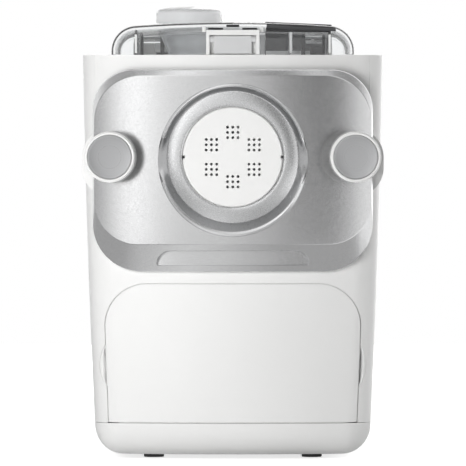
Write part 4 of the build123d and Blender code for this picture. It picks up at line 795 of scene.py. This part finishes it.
brass = finish("brass", (0.78, 0.58, 0.27), 0.28, turned_marks, 0.00001, {"Rings": 4000.0}, Metallic=1.0)
dress(brass, "left_knob_nut", "right_knob_nut", "inlet_contacts")


# ---- Lid, hinge and latch -----------------------------------------------------------------------
# Clear polycarbonate lid on two pins, with a sprung grey latch in front. Three frosted ribs stiffen
# it, and its front edge is smoked on the side of the display.
LAMP_HELD = 0.1            # share of the lamps' light that clear plastic holds back
RIB_X = 0.0692
RIB_HALF = 0.0009
MIDDLE_RIB_X = (0.0405, 0.0425)
RIB_BACK_Y = 0.048
RIB_Z = (0.2902, 0.3062)
SEAL_X = (0.0238, 0.0695)
CROWN_FALL = 0.043         # the lid's crown gets this much lower for each metre to the right

clear_skin, inside, out = start_group("clear_skin", [("Flow", "Float", 26.0)], [("Height", "Float")])
flow = put(clear_skin, "TexNoise", {"Detail": 1.0, "Distortion": 0.6})
clear_skin.links.new(put(clear_skin, "TexCoord").outputs["Object"], flow.inputs["Vector"])
clear_skin.links.new(inside.outputs["Flow"], flow.inputs["Scale"])
clear_skin.links.new(flow.outputs["Fac"], out.inputs["Height"])


def clear_finish(name, colour, roughness, flow_scale, bump, ior=1.58, clarity=1.0):
    """Clear moulded plastic, its surface very slightly uneven, that casts only a faint shadow."""
    material = finish(name, colour, roughness, Transmission_Weight=clarity, IOR=ior)
    tree = material.node_tree
    surface = tree.nodes.new("ShaderNodeGroup")
    surface.node_tree = clear_skin
    surface.inputs["Flow"].default_value = flow_scale
    relief = put(tree, "Bump", {"Strength": 1.0, "Distance": bump})
    tree.links.new(surface.outputs["Height"], relief.inputs["Height"])
    tree.links.new(relief.outputs["Normal"], tree.nodes["Principled BSDF"].inputs["Normal"])
    shadow_ray = put(tree, "LightPath").outputs["Is Shadow Ray"]
    solid = sums(tree, "MULTIPLY_ADD", shadow_ray, LAMP_HELD - 1, 1.0)
    tree.links.new(solid, tree.nodes["Principled BSDF"].inputs["Alpha"])
    return material


clear_lid = clear_finish("clear_lid", (0.945, 0.952, 0.955), 0.01, 26.0, 0.00001, 1.45)
frosted = clear_finish("frosted", (0.86, 0.87, 0.88), 0.16, 40.0, 0.0002)
dress(clear_lid, "lid")
latch_grey = finish("latch_grey", (0.66, 0.665, 0.67), 0.4, moulded_skin, 0.00003, {"Grain": 1800.0})
dress(latch_grey, "lid_latch")
black_matt = finish("black_matt", (0.03, 0.03, 0.032), 0.55, moulded_skin, 0.00006, {"Grain": 1500.0},
                    Specular_IOR_Level=0.2)
dress(black_matt, "hinge_brackets", "power_inlet", "display_module")


def slab(name, low, high, soft, unit, material):
    """Small moulded block with softened edges, between two corners."""
    bpy.ops.object.select_all(action="DESELECT")
    bpy.ops.mesh.primitive_cube_add(size=1, location=(Vector(low) + Vector(high)) / 2)
    piece = bpy.context.object
    piece.name = name
    piece.scale = Vector(high) - Vector(low)
    settle(piece)
    bpy.ops.object.mode_set(mode="EDIT")
    bpy.ops.mesh.select_all(action="SELECT")
    bpy.ops.mesh.bevel(offset=soft, segments=3)
    bpy.ops.object.mode_set(mode="OBJECT")
    bpy.ops.object.shade_smooth_by_angle(angle=math.radians(35))
    piece.data.materials.append(material)
    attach(piece, unit)
    return piece


def pair(label, low, high, soft, material):
    """The same block on the left and right of the lid, given by the corners of the right one."""
    for side, name in SIDES:
        near, far = sorted((side * low[0], side * high[0]))
        slab(name + label, (near, *low[1:]), (far, *high[1:]), soft, "lid_unit", material)


def follow_crown(piece, start_x, low_z, fall=CROWN_FALL):
    """Lowers what lies above a height more and more to the right, as the lid's crown falls."""
    for vert in piece.data.vertices:
        if vert.co.z > low_z:
            vert.co.z -= (vert.co.x - start_x) * fall


# Each rib ends in a short block just behind the lid's front wall. A dark seal lies under the crown.
pair("_lid_rib", (RIB_X - RIB_HALF, -0.132, RIB_Z[0]), (RIB_X + RIB_HALF, RIB_BACK_Y, RIB_Z[1]),
     0.0004, frosted)
slab("middle_lid_rib", (MIDDLE_RIB_X[0], -0.1325, RIB_Z[0]), (MIDDLE_RIB_X[1], RIB_BACK_Y, RIB_Z[1]),
     0.0004, "lid_unit", frosted)
pair("_rib_end", (0.0684, -0.1350, 0.2898), (0.0701, -0.1321, 0.3030), 0.0003, white_abs)
slab("middle_rib_end", (MIDDLE_RIB_X[0], -0.1350, 0.2898), (MIDDLE_RIB_X[1], -0.1326, 0.3046), 0.0003,
     "lid_unit", latch_grey)
front_seal = slab("front_seal", (SEAL_X[0], -0.1275, 0.3052), (SEAL_X[1], -0.1258, 0.3089), 0.0004,
                  "lid_unit", black_matt)
follow_crown(front_seal, SEAL_X[0], 0.307, CROWN_FALL * 1.15)

# Where the latch closes, the lid's front has a dark catch and white hooks. Its dark stops and liners are
# painted shade: black strips for the shadow in the gap above the crossbar and in the spring pockets.
slab("latch_catch", (-0.0046, -0.1404, 0.3084), (0.0046, -0.1362, 0.3101), 0.0004, "lid_unit",
     rubber)
# Black strips in the gap above the crossbar: painted shadow.
pair("_latch_gap_shade", (0.0068, -0.1412, 0.3065), (0.0175, -0.1376, 0.3079), 0.0003, rubber)
pair("_latch_hook", (0.0193, -0.1424, 0.3047), (0.0219, -0.1378, 0.3086), 0.0005,
     white_abs)
# Black sheets in the spring pockets of the latch frame: painted shade.
pair("_latch_pocket_shade", (0.0133, -0.1400, 0.2890), (0.0166, -0.1394, 0.3024), 0.0002, rubber)

# The smoked front edge is a thin skin over the clear moulding, matt black along its top.
SMOKED_X = (0.0242, 0.0734)
EDGE_BACK_Y = -0.1335
EDGE_LOW_Z = 0.3078        # heights of its foot and of the black, at its left end
EDGE_BLACK_Z = 0.3098
EDGE_FALL = 0.05
EDGE_SKIN = 0.00015

smoked = finish("smoked", (0.075, 0.076, 0.08), 0.3, moulded_skin, 0.00001, {"Grain": 1600.0},
                Specular_IOR_Level=0.25)
smoked_edge = bpy.data.objects.new("smoked_lid_edge", nodes["lid"].data.copy())
bpy.context.scene.collection.objects.link(smoked_edge)
smoked_edge.data.transform(nodes["lid"].matrix_world)
smoked_edge.data.materials.clear()
only(smoked_edge)
bpy.ops.mesh.customdata_custom_splitnormals_clear()
bpy.ops.object.mode_set(mode="EDIT")
bpy.ops.mesh.select_all(action="SELECT")
bpy.ops.mesh.remove_doubles(threshold=1e-6)
for place, away in (((SMOKED_X[0], 0, 0), (-1, 0, 0)), ((SMOKED_X[1], 0, 0), (1, 0, 0)),
                    ((0, EDGE_BACK_Y, 0), (0, 1, 0)), ((SMOKED_X[0], 0, EDGE_LOW_Z), (-EDGE_FALL, 0, -1))):
    bpy.ops.mesh.select_all(action="SELECT")
    bpy.ops.mesh.bisect(plane_co=place, plane_no=away, clear_outer=True, use_fill=True)
bpy.ops.mesh.select_all(action="SELECT")
bpy.ops.mesh.bisect(plane_co=(SMOKED_X[0], 0, EDGE_BLACK_Z), plane_no=(-EDGE_FALL, 0, -1))
bpy.ops.mesh.select_all(action="SELECT")
bpy.ops.mesh.normals_make_consistent(inside=False)
bpy.ops.transform.shrink_fatten(value=EDGE_SKIN)
bpy.ops.object.mode_set(mode="OBJECT")
bpy.ops.object.shade_smooth_by_angle(angle=math.radians(35))
smoked_edge.data.materials.append(smoked)
smoked_edge.data.materials.append(black_matt)
for face in smoked_edge.data.polygons:
    height = face.center.z + EDGE_FALL * (face.center.x - SMOKED_X[0])
    face.material_index = 1 if height > EDGE_BLACK_Z else 0
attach(smoked_edge, "lid_unit")


# ---- Splash shield ------------------------------------------------------------------------------
# Upright wall behind the lid that keeps flour off the console. It is smoked plastic on the side of
# the display, with a matt cap along its top, and pale on the other, with a vent, a rail and a seal.
SHIELD_Y = (0.0704, 0.0719)
SHIELD_LOW_Z = 0.2866
PALE_TOP_Z = 0.3068

pale_grey = finish("pale_grey", (0.8, 0.805, 0.81), 0.4, moulded_skin, 0.00002, {"Grain": 1600.0})
smoked_shield = slab("smoked_shield", (SMOKED_X[0], SHIELD_Y[0], SHIELD_LOW_Z),
                     (SMOKED_X[1], SHIELD_Y[1], 0.3150), 0.0006, "main_unit", smoked)
follow_crown(smoked_shield, SMOKED_X[0], 0.3)
shield_cap = slab("shield_cap", (SMOKED_X[0], 0.0700, 0.3124), (SMOKED_X[1], 0.0723, 0.3151), 0.0003,
                  "main_unit", black_matt)
follow_crown(shield_cap, SMOKED_X[0], 0.3)
slab("pale_shield", (-0.0578, SHIELD_Y[0], SHIELD_LOW_Z), (0.0241, SHIELD_Y[1], PALE_TOP_Z), 0.0006,
     "main_unit", pale_grey)
slab("white_shield_end", (-0.0674, SHIELD_Y[0], SHIELD_LOW_Z), (-0.0579, SHIELD_Y[1], PALE_TOP_Z), 0.0006,
     "main_unit", white_abs)
slab("shield_vent", (-0.0414, 0.0699, 0.2948), (-0.0197, 0.0705, 0.2993), 0.0002, "main_unit",
     black_matt)
slab("shield_rail", (-0.057, 0.0695, 0.2928), (-0.0197, 0.0705, 0.2943), 0.0003, "main_unit",
     white_abs)
slab("shield_seal", (-0.057, 0.0697, 0.2908), (-0.0197, 0.0705, 0.2923), 0.0003, "main_unit",
     rubber)
slab("shield_foot", (0.0246, 0.0695, 0.2867), (0.0572, 0.0705, 0.2934), 0.0003, "main_unit",
     pale_grey)
slab("shield_clip", (0.0578, 0.0697, 0.2905), (0.0674, 0.0705, 0.2972), 0.0003, "main_unit",
     black_matt)
slab("shield_light", (0.0581, 0.0698, 0.3009), (0.0606, 0.0705, 0.3034), 0.0003, "main_unit",
     white_abs)
slab("white_shield_rib", (0.0712, 0.0692, 0.2866), (0.0736, 0.0703, 0.3120), 0.0004, "main_unit",
     white_abs)


# ---- Pouring funnel and inlet cap ---------------------------------------------------------------
# Water is poured into a hole in the lid, and a frosted funnel under it leads it down. A loose cap
# closes the hole: a hollow clear dome whose plug drops in, with a web across it to grip.
INLET = (-0.0314, -0.055)
FUNNEL = ((22.4, 308.2), (23.4, 306.5), (21.0, 303.0), (16.4, 292.0), (15.2, 289.6), (14.0, 289.6),
          (15.0, 292.4), (19.4, 303.4), (21.2, 306.4), (21.0, 308.2))
CAP_DOME = ((0.0, 324.4), (8.0, 324.15), (16.0, 323.35), (20.5, 322.6), (22.7, 321.8), (23.8, 320.6),
            (24.3, 318.8), (24.3, 312.0), (22.7, 312.0), (22.7, 318.6), (22.2, 319.9), (20.8, 320.7),
            (19.85, 320.9), (19.85, 307.0), (18.2, 307.0), (18.2, 321.1), (15.6, 321.7), (8.0, 322.5),
            (0.0, 322.75))
WEB_HALF = (0.0035, 0.0005)


def spun_upright(name, profile, steps):
    """Closed outline of (radius, height) points in millimetres, spun round the inlet's axis."""
    piece = spun(name, profile, z=0.0, steps=steps)
    for vert in piece.data.vertices:
        vert.co = (vert.co.x + INLET[0], vert.co.z + INLET[1], vert.co.y)
    face_outwards(piece)
    return piece


funnel = spun_upright("pouring_funnel", FUNNEL, 72)
funnel.data.materials.append(frosted)
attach(funnel, "lid_unit")

clear_cap = clear_finish("clear_cap", (0.95, 0.954, 0.958), 0.08, 60.0, 0.00005, 1.45, 0.66)
inlet_dome = spun_upright("inlet_dome", CAP_DOME, 96)
inlet_dome.data.materials.append(clear_cap)
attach(inlet_dome, "inlet_cap_unit")
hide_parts("inlet_cap")
slab("cap_grip_web", (INLET[0] - WEB_HALF[0], INLET[1] - WEB_HALF[1], 0.3090),
     (INLET[0] + WEB_HALF[0], INLET[1] + WEB_HALF[1], 0.3222), 0.0003, "inlet_cap_unit",
     frosted)


# ---- Control panel ------------------------------------------------------------------------------
# Dark console behind the lid: tinted display window, four grey push buttons, and the board under
# them.
dark_satin = finish("dark_satin", (0.03, 0.031, 0.034), 0.42, moulded_skin, 0.00002, {"Grain": 1600.0},
                    Specular_IOR_Level=0.16)
tinted = clear_finish("tinted", (0.1, 0.1, 0.11), 0.05, 30.0, 0.00002, 1.5)
button_satin = finish("button_satin", (0.62, 0.62, 0.625), 0.4, moulded_skin, 0.00003, {"Grain": 2200.0})
solder_mask = finish("solder_mask", (0.03, 0.2, 0.09), 0.3, cast_skin, 0.00003, {"Grain": 500.0})
dress(dark_satin, "control_panel")
dress(tinted, "display_window")
dress(button_satin, "power_button", "program_button", "extrude_button", "start_button")
dress(solder_mask, "circuit_board")
